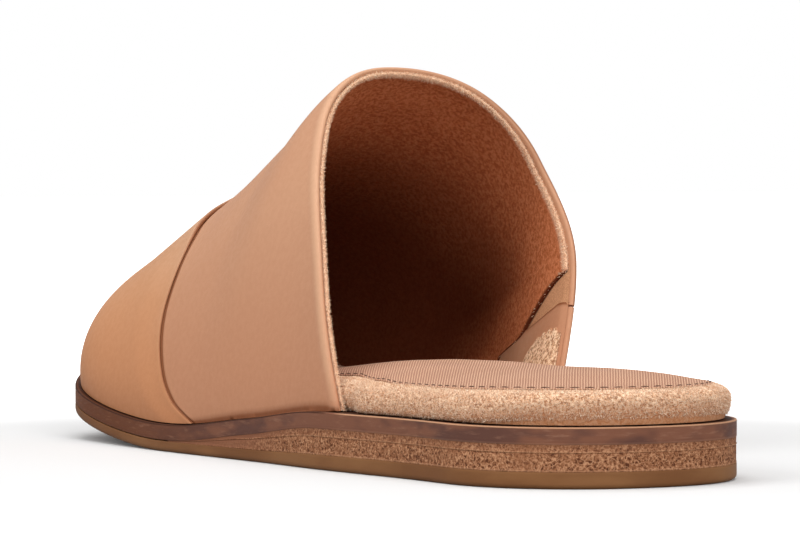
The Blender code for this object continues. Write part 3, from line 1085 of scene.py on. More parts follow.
@dataclass(frozen=True)
class Fuzz:
    """Short fibres that stand on a face."""

    length: float
    thickness: float
    per_square_mm: float
    tilt: float  # largest lean in degrees
    seed: int
    shortest: float = 0.35  # share of the length that the shortest fibre has

    def grow(self, name: str, ground: bpy.types.Object, finish: Nap) -> bpy.types.Object:
        """Grow the fibres where the ground's tone is above 0.

        Args:
            name: the new piece's name.
            ground: a mesh that is used up by this.
            finish: the fibres' finish.

        Returns:
            The fibres as one mesh.
        """
        sizes = {
            "Length": self.length * MM, "Radius": self.thickness / 2 * MM,
            "Density": self.per_square_mm / MM**2, "Tilt": math.radians(self.tilt),
        }
        repeat = Repeat(f"{name}_tree", sizes)
        add, size = repeat.add, repeat.size
        where = add("GeometryNodeInputNamedAttribute", {"Name": "tone"}, data_type="FLOAT")
        density = repeat.math("MULTIPLY", size("Density"), where.outputs[0])
        spots = add(
            "GeometryNodeDistributePointsOnFaces",
            {"Mesh": size("Geometry"), "Density": density, "Seed": self.seed},
            distribute_method="RANDOM",
        )
        fibre = add(
            "GeometryNodeMeshCone",
            {"Vertices": 3, "Radius Top": 0.0, "Radius Bottom": size("Radius"), "Depth": size("Length")},
            fill_type="NONE",
        )
        low = repeat.math("MULTIPLY", size("Tilt"), -1.0)
        lean = add(
            "FunctionNodeRandomValue", {"Min": low, "Max": size("Tilt"), "Seed": self.seed + 1},
            data_type="FLOAT_VECTOR",
        )
        lean_turn = add("FunctionNodeEulerToRotation", {0: lean.outputs[0]})
        turn = add(
            "FunctionNodeRotateRotation",
            {0: spots.outputs["Rotation"], 1: lean_turn.outputs[0]},
            rotation_space="LOCAL",
        )
        tall = add(
            "FunctionNodeRandomValue", {2: self.shortest, 3: 1.0, "Seed": self.seed + 2},
            data_type="FLOAT",
        )
        standing = add(
            "GeometryNodeInstanceOnPoints",
            {
                "Points": spots.outputs["Points"], "Instance": fibre.outputs["Mesh"],
                "Rotation": turn.outputs[0], "Scale": tall.outputs[1],
            },
        )
        shade = add("FunctionNodeRandomValue", {"Seed": self.seed + 3}, data_type="FLOAT")
        shaded = add(
            "GeometryNodeStoreNamedAttribute",
            {"Geometry": standing.outputs[0], "Name": "shade", "Value": shade.outputs[1]},
            data_type="FLOAT", domain="INSTANCE",
        )
        repeat.finish(shaded.outputs[0], finish.material())
        return repeat.apply(name, ground)


@dataclass(frozen=True)
class StitchRow:
    """Thread stitches along a line: their length, distance and thickness."""

    stitch: float
    spacing: float
    thickness: float

    def sew(self, name: str, lines: Sequence[Array], origin: Vector, finish: Plain) -> bpy.types.Object:
        """Lay rounded stitches along one or more lines.

        Args:
            name: the new piece's name.
            lines: points in the shoe's millimetres, in order.
            origin: scene place of the shoe's zero, in millimetres.
            finish: the thread's finish.

        Returns:
            The stitches as one mesh.
        """
        curve = bpy.data.curves.new(f"{name}_line", "CURVE")
        curve.dimensions = "3D"
        for line in lines:
            points = (line + np.array(origin)) * (MM, -MM, MM)
            weighted = np.pad(points, ((0, 0), (0, 1)), constant_values=1.0)
            spline = curve.splines.new("POLY")
            spline.points.add(len(points) - 1)
            spline.points.foreach_set("co", weighted.reshape(-1))
        source = link(f"{name}_line", curve)
        sizes = {
            "Stitch": self.stitch * MM, "Spacing": self.spacing * MM, "Radius": self.thickness / 2 * MM
        }
        repeat = Repeat(f"{name}_tree", sizes)
        add, size = repeat.add, repeat.size
        spots = add(
            "GeometryNodeCurveToPoints",
            {"Curve": size("Geometry"), "Length": size("Spacing")},
            mode="LENGTH",
        )
        thread = add("GeometryNodeMeshUVSphere", {"Segments": 8, "Rings": 6, "Radius": size("Radius")})
        ratio = repeat.math("DIVIDE", size("Stitch"), size("Radius"))
        half = repeat.math("MULTIPLY", ratio, 0.5)
        long = add("ShaderNodeCombineXYZ", {0: 1.0, 1: 1.0, 2: half})
        laid = add(
            "GeometryNodeInstanceOnPoints",
            {
                "Points": spots.outputs["Points"], "Instance": thread.outputs["Mesh"],
                "Rotation": spots.outputs["Rotation"], "Scale": long.outputs[0],
            },
        )
        repeat.finish(laid.outputs[0], finish.material())
        return repeat.apply(name, source)


# --- what every sub-assembly uses ----------------------------------------------------------------


def dress(
    piece: bpy.types.Object,
    material: bpy.types.Material | None,
    node: str | None = None,
) -> bpy.types.Object:
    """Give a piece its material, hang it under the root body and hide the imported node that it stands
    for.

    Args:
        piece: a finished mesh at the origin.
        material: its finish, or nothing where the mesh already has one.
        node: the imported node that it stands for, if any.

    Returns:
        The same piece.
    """
    if material is not None:
        piece.data.materials.clear()
        piece.data.materials.append(material)
    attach(piece, "root")
    if node is not None:
        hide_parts(node)
    log.info("%s: %d faces", piece.name, len(piece.data.polygons))
    return piece


def open_out(ground: bpy.types.Object, points: Array, origin: Vector) -> bpy.types.Object:
    """Turn an open ground's faces to the side that fibres grow from: inwards and to the heel.

    Args:
        ground: the open mesh.
        points: the grid it was made from.
        origin: scene place of the shoe's zero, in millimetres.

    Returns:
        The same mesh.
    """
    centre = (points.reshape(-1, 3).mean(axis=0) + np.array(origin)) * (MM, -MM, MM)
    towards = sum((Vector(centre) - f.center).dot(f.normal) for f in ground.data.polygons)
    if towards < 0:
        ground.data.flip_normals()
    return ground


# --- the layers under the foot -------------------------------------------------------------------


@dataclass(frozen=True)
class SideRow:
    """One ring of a layer's side: inset from the edge, share of its height and a lift on top."""

    inset: float
    share: float
    lift: float = 0.0
    tone: float = 0.0


def round_edge(radius: float, upper: bool, steps: int = 5, tone: float = 0.0) -> list[SideRow]:
    """Rows of a quarter round at a layer's lower or upper edge.

    Args:
        radius: the edge's radius.
        upper: whether it is the upper edge.
        steps: number of intervals.
        tone: colour shift of the rows.

    Returns:
        Rows from the bottom up.
    """
    rows = []
    for turn in stations(0.0, math.pi / 2, steps):
        inset, lift = radius * (1 - math.sin(turn)), radius * (1 - math.cos(turn))
        rows.append(SideRow(inset, 1.0, -lift, tone) if upper else SideRow(inset, 0.0, lift, tone))
    return rows[::-1] if upper else rows


@dataclass
class Bottom:
    """Outsole, stacked wedge and band, the layers under the foot."""

    form: SoleForm
    origin: Vector
    meet: float = GAP / 2 - 0.01  # how far each layer grows so that neighbours look joined
    raised: float = 0.25  # how much higher the line between wedge and band shows
    feather: float = 164.5  # where the wedge's thin front ends
    rubber_edge: float = 1.3
    band_edge: float = 0.25
    sharp_edge: float = 0.08
    groove_inset: float = 6.0
    groove_width: float = 1.3
    groove_flank: float = 0.2
    groove_depth: float = 0.6
    toe_shade: Fade = Fade(0.60, 150.0, 235.0)  # the rubber is darker in front of the wedge
    sealed: Fade = Fade(0.8, 92.0, 140.0)  # the wedge's grain is painted smooth towards the front
    unworn: Fade = Fade(2.0, 76.0, 90.0)  # the band's pale lines turn dark where the upper starts
    rubber: GumRubber = GumRubber("gum_rubber", base=(0.265, 0.120, 0.047), deep=(0.125, 0.040, 0.013))
    grain: StackedGrain = StackedGrain(
        "stacked_grain", pale=(0.56, 0.29, 0.155), mid=(0.285, 0.115, 0.052),
        dark=(0.085, 0.024, 0.010), seal=(0.25, 0.10, 0.052),
    )
    dye: BandLeather = BandLeather(
        "band_dye", base=(0.215, 0.088, 0.052), worn=(0.33, 0.165, 0.105), deep=(0.125, 0.055, 0.04),
        rim=(0.50, 0.27, 0.155), front=(0.140, 0.044, 0.017), crevice=(0.05, 0.017, 0.009),
    )

    def layer(
        self,
        name: str,
        low: Callable[[Array], Array],
        high: Callable[[Array], Array],
        rows: Sequence[SideRow],
        tone: Callable[[Array, Array], Array],
        front: float | None = None,
    ) -> bpy.types.Object:
        """Build one layer as a stack of rings closed at both ends.

        Args:
            name: the piece's name.
            low: height of its underside.
            high: height of its top.
            rows: the side from the bottom up.
            tone: final colour shift from the rows' shift and the place along the shoe.
            front: where it ends straight across, if it does.

        Returns:
            The layer.
        """
        rings = []
        for row in rows:
            def height(place: Array, side: Side, row: SideRow = row) -> Array:
                """Height of this ring."""
                return low(place) + (high(place) - low(place)) * row.share + row.lift

            rings.append(self.form.ring(row.inset, height, front))
        points = np.stack(rings)
        shift = np.broadcast_to(np.array([row.tone for row in rows])[:, None], points.shape[:2])
        shift = tone(shift, points[..., 1])
        maker = MeshMaker(name, self.origin)
        if front is None:
            maker.stack(points, shift)
            return maker.make()
        closed = [*range(points.shape[1]), 0]
        index = maker.grid(points[:, closed], shift[:, closed])
        maker.cap(index[0, :-1])
        maker.cap(index[-1, :-1])
        return maker.make()

    def outsole(self) -> bpy.types.Object:
        """Rubber bottom with a rounded lower edge and a shallow groove round its underside."""
        start, end, flank = self.groove_inset, self.groove_inset + self.groove_width, self.groove_flank
        rows = [SideRow(inset, 0.0) for inset in (34.0, 24.0, 14.0, end)]
        rows += [SideRow(inset, 0.0, self.groove_depth) for inset in (end - flank, start + flank)]
        rows += [SideRow(start, 0.0), *round_edge(self.rubber_edge, upper=False, steps=7)]
        rows += [SideRow(0.0, 0.6), SideRow(0.02, 0.85)]
        rows += round_edge(self.sharp_edge, upper=True, steps=2, tone=-0.1)
        rows += [SideRow(inset, 1.0) for inset in (6.0, 20.0)]

        def top(place: Array) -> Array:
            """Height of the rubber's upper face."""
            return self.form.outsole_top(place) + self.meet

        def tone(shift: Array, place: Array) -> Array:
            """Colour shift with the darker toe."""
            return shift + self.toe_shade.at(place)

        piece = self.layer("outsole_rubber", self.form.floor_line, top, rows, tone)
        return dress(piece, self.rubber.material(), "outsole")

    def wedge(self) -> bpy.types.Object:
        """Stacked wedge with raised lamina lines under its top and at its foot."""
        rows = [SideRow(20.0, 0.0), SideRow(0.12, 0.0, tone=-0.1), SideRow(0.05, 0.02, tone=-0.35)]
        rows += [SideRow(0.03, 0.05, tone=-0.45), SideRow(0.1, 0.09), SideRow(0.1, 0.40)]
        rows += [SideRow(0.1, 0.64, tone=0.1), SideRow(0.22, 0.68, tone=0.3)]
        rows += [SideRow(0.02, 0.71, tone=-0.45), SideRow(0.02, 0.74, tone=-0.35)]
        rows += [SideRow(0.12, 0.77, tone=0.3), SideRow(0.1, 0.90, tone=0.35)]
        rows += [SideRow(0.1, 0.95, tone=0.4), SideRow(0.06, 1.0, tone=0.5), SideRow(20.0, 1.0)]

        def low(place: Array) -> Array:
            """Height of the wedge's underside."""
            return self.form.outsole_top(place) + GAP / 2

        def top(place: Array) -> Array:
            """Height of the wedge's upper face."""
            return self.form.band_low(place) - GAP / 2 + self.raised

        def tone(shift: Array, place: Array) -> Array:
            """Colour shift with the sealed front."""
            return shift + self.sealed.at(place)

        piece = self.layer("wedge_stack", low, top, rows, tone, self.feather)
        return dress(piece, self.grain.material(), "stacked_wedge")

    def band(self) -> bpy.types.Object:
        """Smooth band with a pale rim."""
        rows = [SideRow(20.0, 0.0), *round_edge(self.sharp_edge, upper=False, steps=2, tone=-0.25)]
        rows += [SideRow(0.0, 0.09, tone=-0.15), SideRow(0.0, 0.14, tone=0.25)]
        rows += [SideRow(0.0, share, tone=0.1) for share in (0.25, 0.4, 0.6, 0.78)]
        rows += [SideRow(0.0, 0.90), SideRow(-0.02, 0.935, tone=-0.7)]
        rows += round_edge(self.band_edge, upper=True, steps=4, tone=-0.9)
        rows += [SideRow(0.5, 1.0, tone=-0.3)]
        # painted shade on the band's top face, under the upper and the cushion
        rows += [SideRow(inset, 1.0, tone=1.0) for inset in (1.0, 8.0, 24.0)]

        def low(place: Array) -> Array:
            """Height of the band's underside."""
            return self.form.band_low(place) - self.meet + self.raised

        def tone(shift: Array, place: Array) -> Array:
            """Colour shift whose pale lines turn dark under the upper."""
            return np.where(shift < 0, shift * (1 - self.unworn.at(place)), shift)

        piece = self.layer("band_leather", low, self.form.band_top, rows, tone)
        return dress(piece, self.dye.material(), "midsole_band")

    def build(self) -> list[bpy.types.Object]:
        """Build the three layers."""
        return [self.outsole(), self.wedge(), self.band()]


# --- the footbed ---------------------------------------------------------------------------------


@dataclass
class Cushion:
    """Suede-wrapped footbed with the cloth sewn on its crown."""

    form: SoleForm
    upper: UpperForm
    origin: Vector
    inset: float = 1.3
    tuck: float = 4.5  # how far the side is drawn in where the upper wraps it
    tuck_clearance: float = 1.2
    tuck_length: float = 11.0
    toe_tuck: Fade = Fade(3.0, 188.0, 233.0)
    crown: float = 2.6
    crown_start: float = 6.2
    crown_width: float = 22.0
    crown_insets: tuple[float, ...] = (7.0, 7.8, 8.6, 9.6, 11.0, 14.0, 18.0, 23.0, 28.0)
    edge_steps: int = 26
    heel_lift: Fade = Fade(0.8, 70.0, 15.0)  # the cushion is a little thicker at the very heel
    heel_fullness: Fade = Fade(0.5, 34.0, 6.0)  # and its edge squarer
    lumps: tuple[tuple[float, float, int], ...] = ((0.20, 14.0, 5), (0.10, 4.0, 6))  # rise, size, seed
    lumps_start: Fade = Fade(1.0, 0.0, 0.2)
    lumps_end: Fade = Fade(1.0, 0.85, 0.7)
    foot_shade: Fade = Fade(0.8, 0.45, 0.0)
    edge_light: Bell = Bell(0.65, 0.78, 0.20)
    napped: Fade = Fade(0.98, 150.0, 135.0)
    sock_inset: float = 3.0
    sock_draw: float = 4.5  # how much further in the cloth's edge runs towards the upper
    sock_draw_start: float = 36.0
    sock_draw_end: float = 92.0
    sock_draw_lag: float = 10.0  # how much later it does so on the medial side
    sock_top: float = 1.1
    sock_shade: float = 0.15
    stitch_inset: float = 0.65
    stitch_lift: float = 0.46
    side_rows: Table = Table(  # from the foot over the widest place to the flat top
        "step inset share",
        (0, 1.0, 0.0),
        (1, 0.3, 0.14),
        (2, 0.0, 0.42),
        (3, 0.5, 0.68),
        (4, 1.9, 0.88),
        (5, 4.0, 0.985),
        (6, 6.2, 1.0),
    )
    top_rows: Table = Table(  # the same above the widest place, and level from there on
        "inset share", (0.0, 0.42), (0.5, 0.68), (1.9, 0.88), (4.0, 0.985), (6.2, 1.0), (40.0, 1.0)
    )
    suede: Suede = Suede(
        "footbed_suede", light=(0.98, 0.74, 0.53), mid=(0.80, 0.49, 0.30), dark=(0.38, 0.165, 0.075),
        pale=(0.97, 0.80, 0.62), deep=(0.52, 0.21, 0.09), grain=0.75,
    )
    nap: Nap = Nap("footbed_nap", light=(1.0, 0.83, 0.64), dark=(0.56, 0.26, 0.12))
    cloth: RibbedCloth = RibbedCloth(
        "sock_cloth_weave", crown=(0.66, 0.40, 0.27), valley=(0.38, 0.185, 0.115)
    )
    thread: Plain = Plain("dark_thread", base=(0.07, 0.035, 0.025), shade=(0.12, 0.06, 0.04))
    fuzz: Fuzz = Fuzz(length=0.8, thickness=0.2, per_square_mm=14.0, tilt=60.0, seed=3)
    stitches: StitchRow = StitchRow(stitch=2.2, spacing=3.4, thickness=0.34)

    def side_inset(self, place: Array, side: Side) -> Array:
        """Distance from the sole's edge to the cushion's side, tucked in where the upper wraps it.

        Args:
            place: places along the shoe.
            side: the side of the shoe.

        Returns:
            The inset at each place.
        """
        angle = LATERAL_BASE if side is Side.LATERAL else MEDIAL_BASE
        end = self.upper.topline(angle) - self.tuck_clearance
        tuck = self.tuck * smooth_step(place, end - self.tuck_length, end)
        return self.inset + tuck + self.toe_tuck.at(place)

    def rise(self, inset: Array | float) -> Array:
        """Rise of the crown at an inset from the cushion's side."""
        share = np.clip((inset - self.crown_start) / self.crown_width, 0.0, 1.0)
        return self.crown * np.sin(share * math.pi / 2)

    def height(self, place: Array, share: Array | float, inset: Array | float, lift: float) -> Array:
        """Height of a point over the band.

        Args:
            place: where it is along the shoe.
            share: share of the cushion's thickness, before the squarer heel.
            inset: distance from the cushion's side, for the crown.
            lift: what is added on top.

        Returns:
            Height up from the floor.
        """
        thickness = self.form.layer_rows.read("footbed", place) + self.heel_lift.at(place)
        full = share ** (1.0 - self.heel_fullness.at(place))
        return self.form.band_top(place) + GAP + full * thickness + self.rise(inset) + lift

    def ring(self, inset: float, share: float) -> Array:
        """Loop round the cushion.

        Args:
            inset: distance from the cushion's side.
            share: share of its height.

        Returns:
            The loop's points.
        """

        def total(place: Array, side: Side) -> Array:
            """Inset of this loop from the sole's edge."""
            return self.side_inset(place, side) + inset

        def height(place: Array, side: Side) -> Array:
            """Height of this loop."""
            return self.height(place, share, inset, 0.0)

        return self.form.ring(total, height)

    def pad_rings(self) -> Array:
        """Loops of the cushion from its foot over the rounded edge to the crown."""
        places = self.side_rows.places
        steps = stations(places[0], places[-1], self.edge_steps)
        insets, shares = (self.side_rows.read(k, steps) for k in ("inset", "share"))
        rings = [self.ring(i, s) for i, s in zip(insets, shares)]
        return np.stack(rings + [self.ring(i, 1.0) for i in self.crown_insets])

    def draw(self, place: Array, side: Side) -> Array:
        """How far the cloth's edge has been drawn in along a side.

        Args:
            place: places along the shoe.
            side: the side of the shoe.

        Returns:
            A share that grows from 0 to 1.
        """
        lag = 0.0 if side is Side.LATERAL else self.sock_draw_lag
        run = self.sock_draw_end - self.sock_draw_start
        return np.clip((place - self.sock_draw_start - lag) / run, 0.0, 1.0) ** 2

    def sock_ring(self, offset: float, lift: float) -> Array:
        """Loop of the cloth, a little above the cushion.

        Args:
            offset: distance inside the cloth's edge.
            lift: height over the cushion.

        Returns:
            The loop's points.
        """

        def total(place: Array, side: Side) -> Array:
            """Inset of this loop from the sole's edge."""
            drawn = (self.tuck + self.sock_draw) * self.draw(place, side)
            return self.inset + self.sock_inset + offset + drawn + self.toe_tuck.at(place)

        def height(place: Array, side: Side) -> Array:
            """Height of this loop."""
            edge = total(place, side) - self.side_inset(place, side)
            return self.height(place, self.top_rows.read("share", edge), edge, lift)

        return self.form.ring(total, height)

    def pad(self) -> bpy.types.Object:
        """Cushion with a slightly lumpy suede wrap."""
        points = self.pad_rings()
        lumps = sum(rise * ripple(points, size, seed) for rise, size, seed in self.lumps)
        edge, crown = np.linspace(0.0, 1.0, self.edge_steps + 1), np.ones(len(self.crown_insets))
        share = np.concatenate([edge, crown])[:, None]
        points[..., 2] += lumps * self.lumps_start.at(share) * self.lumps_end.at(share)
        maker = MeshMaker("footbed_cushion", self.origin)
        maker.stack(points, self.foot_shade.at(share) - self.edge_light.at(share))
        piece = dress(maker.make(), self.suede.material(), "footbed")
        return piece

    def pad_nap(self) -> bpy.types.Object:
        """Short nap on the cushion's side and rounded edge."""
        points = self.pad_rings()[1 : self.edge_steps - 1]
        maker = MeshMaker("nap_ground", self.origin)
        maker.grid(points, 0.02 + self.napped.at(points[..., 1]))
        ground = maker.make()
        return dress(self.fuzz.grow("footbed_nap", ground, self.nap), None, None)

    def sock(self) -> bpy.types.Object:
        """Cloth whose edge is drawn down by its stitching."""
        under = [(offset, 0.1) for offset in (20.0, 14.0, 6.0, 0.3)]
        edge = [(0.0, 0.14), (-0.06, 0.28), (0.05, 0.40), (0.3, 0.46)]
        seam = [(0.6, 0.40), (0.9, 0.42), (1.5, 0.58), (2.4, 0.76)]
        top = [(4.0, 0.92), (6.0, 1.02)]
        top += [(offset, self.sock_top) for offset in (8.5, 11.0, 14.0, 17.0, 20.0)]
        points = np.stack([self.sock_ring(*row) for row in under + edge + seam + top])
        widest = len(under) + 1
        tone = np.zeros(points.shape[:2])
        tone[widest : widest + len(edge) + 1] = self.sock_shade
        maker = MeshMaker("sock_cloth_top", self.origin)
        maker.stack(points, tone)
        piece = dress(maker.make(), self.cloth.material(), "sock_cloth")
        return piece

    def sock_stitches(self) -> bpy.types.Object:
        """Dark stitches just inside the cloth's edge."""
        line = self.sock_ring(self.stitch_inset, self.stitch_lift)
        return dress(self.stitches.sew("sock_stitches", [line], self.origin, self.thread), None)

    def build(self) -> list[bpy.types.Object]:
        """Build the cushion, its nap, the cloth and its stitches."""
        return [self.pad(), self.pad_nap(), self.sock(), self.sock_stitches()]


# --- the upper -----------------------------------------------------------------------------------


Run = tuple[Array, Array | float]  # places and depths of neighbouring rows of a wall


def fold(edge: Array, bulge: Array | float, start: Array | float, stop: float, turn: Array) -> Run:
    """Rows of a wall's edge that turns round from one depth to another.

    Args:
        edge: place where the turn starts and stops, by station.
        bulge: how far it stands out towards the heel.
        start: depth where it starts.
        stop: depth where it stops.
        turn: angle of each row, from 0 to pi, as a column.

    Returns:
        Places and depths.
    """
    return edge - bulge * np.sin(turn), start + (stop - start) / 2 * (1 - np.cos(turn))


def join(*runs: Run) -> tuple[Array, Array]:
    """Put runs of rows one after another.

    Args:
        *runs: each run's places, rows by stations, and its depths.

    Returns:
        All places and all depths, rows by stations.
    """
    depths = [np.broadcast_to(depth, place.shape) for place, depth in runs]
    return np.concatenate([place for place, _ in runs]), np.concatenate(depths)


def half_turn(steps: int) -> Array:
    """Angles of the rows between the two ends of a half round, as a column."""
    return stations(0.0, math.pi, steps)[1:-1, None]


def foot_distance(angles: Array) -> Array:
    """Degrees to the nearer foot of the upper."""
    return np.minimum(angles, MEDIAL_BASE - angles)


@dataclass
class LeatherWork:
    """What the pieces of the upper and of its slit share."""

    form: UpperForm
    origin: Vector
    roll: float = 0.65  # how far ahead of the topline its fold starts
    roll_bulge: float = 1.9  # how far the fold stands out, as a share of the roll
    glue: float = 0.06  # between leather and lining
    lining_setback: Fade = Fade(2.2, 105.0, 150.0)  # the lining stops short on the medial side
    vamp_leather: Leather = Leather(
        "vamp_leather", base=(0.555, 0.282, 0.162), cloud=(0.57, 0.295, 0.17),
        dark=(0.24, 0.075, 0.025), light=(0.76, 0.48, 0.30), low=(0.53, 0.245, 0.133),
    )
    nap: Nap = Nap("lining_nap", light=(0.98, 0.76, 0.55), dark=(0.74, 0.42, 0.25))

    def slit_angles(self) -> Array:
        """Girth stations along the slit, closer together at its rounded top."""
        start = self.form.slit_angle
        return start + (MEDIAL_BASE - start) * stations(0.0, 1.0, 26) ** self.form.slit_curve

    def lining_end(self, angles: Array) -> Array:
        """Where the lining stops towards the heel.

        Args:
            angles: girth stations.

        Returns:
            The place at each of them.
        """
        rows = self.form.lining_end_rows
        slanted = rows.read("from_heel", np.maximum(angles, rows.places[0]))
        plain = self.form.topline(angles) + self.lining_setback.at(angles)
        return np.where(angles <= rows.places[0], plain, np.maximum(slanted, plain))

    def shell(
        self,
        name: str,
        places: Array,
        angles: Array,
        depths: Array,
        tone: Array | float,
        tips: Sequence[Array] = (),
    ) -> MeshMaker:
        """Wall made of rows that run over one face, round its edge and back over the other.

        Args:
            name: the piece's name.
            places: rows by stations of places along the shoe.
            angles: girth angle of each station.
            depths: rows by stations of depths inside the outer face.
            tone: rows by stations of colour shifts.
            tips: points at the toe that the first and the last row are drawn together in, or
                nothing where the last row meets the first.

        Returns:
            The maker, ready to make the piece.
        """
        points = self.form.wall(places, angles, depths)
        tone = np.broadcast_to(tone, places.shape)
        if tips:
            first, last = (np.broadcast_to(tip, (1, len(angles), 3)) for tip in tips)
            points = np.concatenate([first, points, last])
            tone = np.concatenate([tone[:1], tone, tone[-1:]])
        else:
            points = np.concatenate([points, points[:1]])
            tone = np.concatenate([tone, tone[:1]])
        maker = MeshMaker(name, self.origin)
        index = maker.grid(points, tone)
        sides = index if tips else index[:-1]
        for station in (0, -1):
            maker.cap(sides[:, station])
        return maker

    def tip(self, place: float, middle: float) -> Array:
        """Point at the upper's foot by the toe, sideways where the sole has its middle line."""
        sole = self.form.sole
        return np.array([sole.centre(middle), place, sole.band_top(place) + GAP])


@dataclass
class Upper(LeatherWork):
    """Leather vamp and toe piece over a napped lining."""

    girth_step: float = 0.75
    lap: float = 4.5  # how far the vamp runs under the toe piece
    lap_clearance: float = 0.03
    lap_slope: Fade = Fade(1.0, 0.5, 3.0)  # beyond the lap the toe piece comes down to the lining
    cut_roll: float = 0.25  # roll of the slit's cut edge
    seam_share: float = 0.12  # share of the vamp, by the seam, that has closer rows
    outer_depth: float = 0.6  # a vamp's fold counts as outside up to here
    rim_depth: float = 0.9  # and as its rim up to here
    seam_groove: Bell = Bell(0.32, -0.25, 0.45)
    seam_swell: Bell = Bell(0.05, -1.5, 1.0)
    seam_shadow: Bell = Bell(0.9, -0.2, 0.8)
    edge_swell: Bell = Bell(0.10, 1.6, 1.0)
    edge_light: Bell = Bell(0.40, 0.6, 2.0)
    past_crest: Fade = Fade(2.0, 85.0, 125.0)  # turns the painted highlight on the topline's edge into painted shade past the crest
    # painted shade on the rolled edge of the medial side
    medial_side: Fade = Fade(0.25, 95.0, 130.0)
    medial_shade: Bell = Bell(1.0, 1.0, 5.0)
    foot_shade: Bell = Bell(0.12, 0.0, 5.0)
    # painted shade in the gap where the upper meets the band
    foot_line: Bell = Bell(1.2, 0.0, 0.7)
    lip: float = 0.55  # how far the toe piece's edge lies ahead of the seam's line
    lip_bulge: float = 0.4
    lip_pared: Fade = Fade(0.62, 52.0, 38.0)  # the lip is pared down on the lateral side
    paring: Fade = Fade(1.0, 14.0, 1.0)
    lip_dark: float = 0.45  # painted shadow: tone at the top of the lip's fold
    lip_darker: float = 0.5  # painted shadow added at the fold's foot
    lip_bright: Fade = Fade(0.6, 60.0, 80.0)  # the painted shadow in the fold is lighter over the instep
    # painted highlight just ahead of the seam, painted shade towards the foot, and darker towards the
    # tip
    toe_light: Bell = Bell(0.25, 0.8, 0.7)
    toe_foot: Bell = Bell(0.35, 0.0, 9.0)
    toe_tip: Bell = Bell(0.15, 0.0, 10.0)
    toe_crowding: float = 1.9  # above 1, rows crowd towards the toe
    lining_crowding: float = 1.6
    lining_edge: float = 0.55  # how far its raw edge bulges
    lining_nose: float = 0.5  # how far short of the tip its inner face starts
    lumps: tuple[float, float, int] = (0.10, 9.0, 11)  # rise, size, seed
    lumps_start: Fade = Fade(1.0, 1.0, 6.0)
    cut_end: Fade = Fade(1.0, 158.8, 159.6)  # from the pale raw edge to the painted shadow at the cut end
    raw_edge: Bell = Bell(-1.0, -0.3, 1.0)
    dark_edge: Bell = Bell(1.4, -0.3, 1.0)
    bald_cut: float = 0.97  # share of the nap that the cut end lacks
    inner_shade: Fade = Fade(0.45, 8.0, 40.0)
    toe_dark: Fade = Fade(0.55, 22.0, 75.0)
    fuzz: Fuzz = Fuzz(length=0.85, thickness=0.2, per_square_mm=30.0, tilt=50.0, seed=21)
    toe_leather: Leather = Leather(
        "toe_leather", base=(0.56, 0.295, 0.155), cloud=(0.59, 0.33, 0.19), dark=(0.24, 0.075, 0.025),
        light=(0.76, 0.48, 0.30), low=(0.56, 0.245, 0.112),
    )
    # the lining's colours are its own, made darker and redder as painted shade and bounce light inside
    # the shoe; deep is the painted shade further in
    lining: Suede = Suede(
        "lining_suede", light=(0.62, 0.225, 0.10), mid=(0.53, 0.17, 0.068), dark=(0.40, 0.115, 0.042),
        pale=(1.0, 0.74, 0.52), deep=(0.07, 0.010, 0.003), grain=1.0, sheen=0.03,
    )

    def angles(self, end: float = MEDIAL_BASE) -> Array:
        """Girth stations from the lateral foot, closer together along the slit.

        Args:
            end: the last station.

        Returns:
            The stations in degrees.
        """
        plain = np.arange(LATERAL_BASE, self.form.slit_angle, self.girth_step)
        both = np.concatenate([plain, self.slit_angles()])
        inner = both[(both > LATERAL_BASE + 0.05) & (both < end - 0.05)]
        return np.concatenate([[LATERAL_BASE], inner, [end]])

    def vamp(self) -> bpy.types.Object:
        """Vamp from under the toe piece back to the rolled topline and the slit."""
        form, angles = self.form, self.angles()
        seam, rear = form.seam(angles), form.rear(angles)
        folded = angles <= form.slit_angle
        rolled = np.where(folded, self.roll, self.cut_roll)
        front, edge = seam + self.lap, rear + rolled
        steps = [stations(0.0, self.seam_share, 14), stations(self.seam_share, 1.0, 80)[1:]]
        out_place = front + (edge - front) * np.concatenate(steps)[:, None]
        beyond = out_place - seam
        out_depth = self.seam_groove.at(beyond) - self.seam_swell.at(beyond)
        out_depth -= self.edge_swell.at(out_place - rear) * folded
        roll = fold(edge, rolled * self.roll_bulge, 0.0, form.leather, half_turn(10))
        in_place = edge + (front - edge) * stations(0.0, 1.0, 22)[:, None]
        places, depths = join((out_place, out_depth), roll, (in_place, form.leather))
        outside, rim = depths < self.outer_depth, depths < self.rim_depth
        behind = places - rear
        # painted shade by the seam, on the medial roll and at the foot; painted highlight on the rolled
        # topline
        tone = self.seam_shadow.at(places - seam) * outside
        tone -= self.edge_light.at(behind) * (1 - self.past_crest.at(angles)) * rim * folded
        tone += self.medial_side.at(angles) * self.medial_shade.at(behind) * rim
        tone += self.foot_shade.at(foot_distance(angles))
        tone += self.foot_line.at(foot_distance(angles)) * outside
        maker = self.shell("vamp", places, angles, depths, tone)
        return dress(maker.make(), self.vamp_leather.material(), "upper")

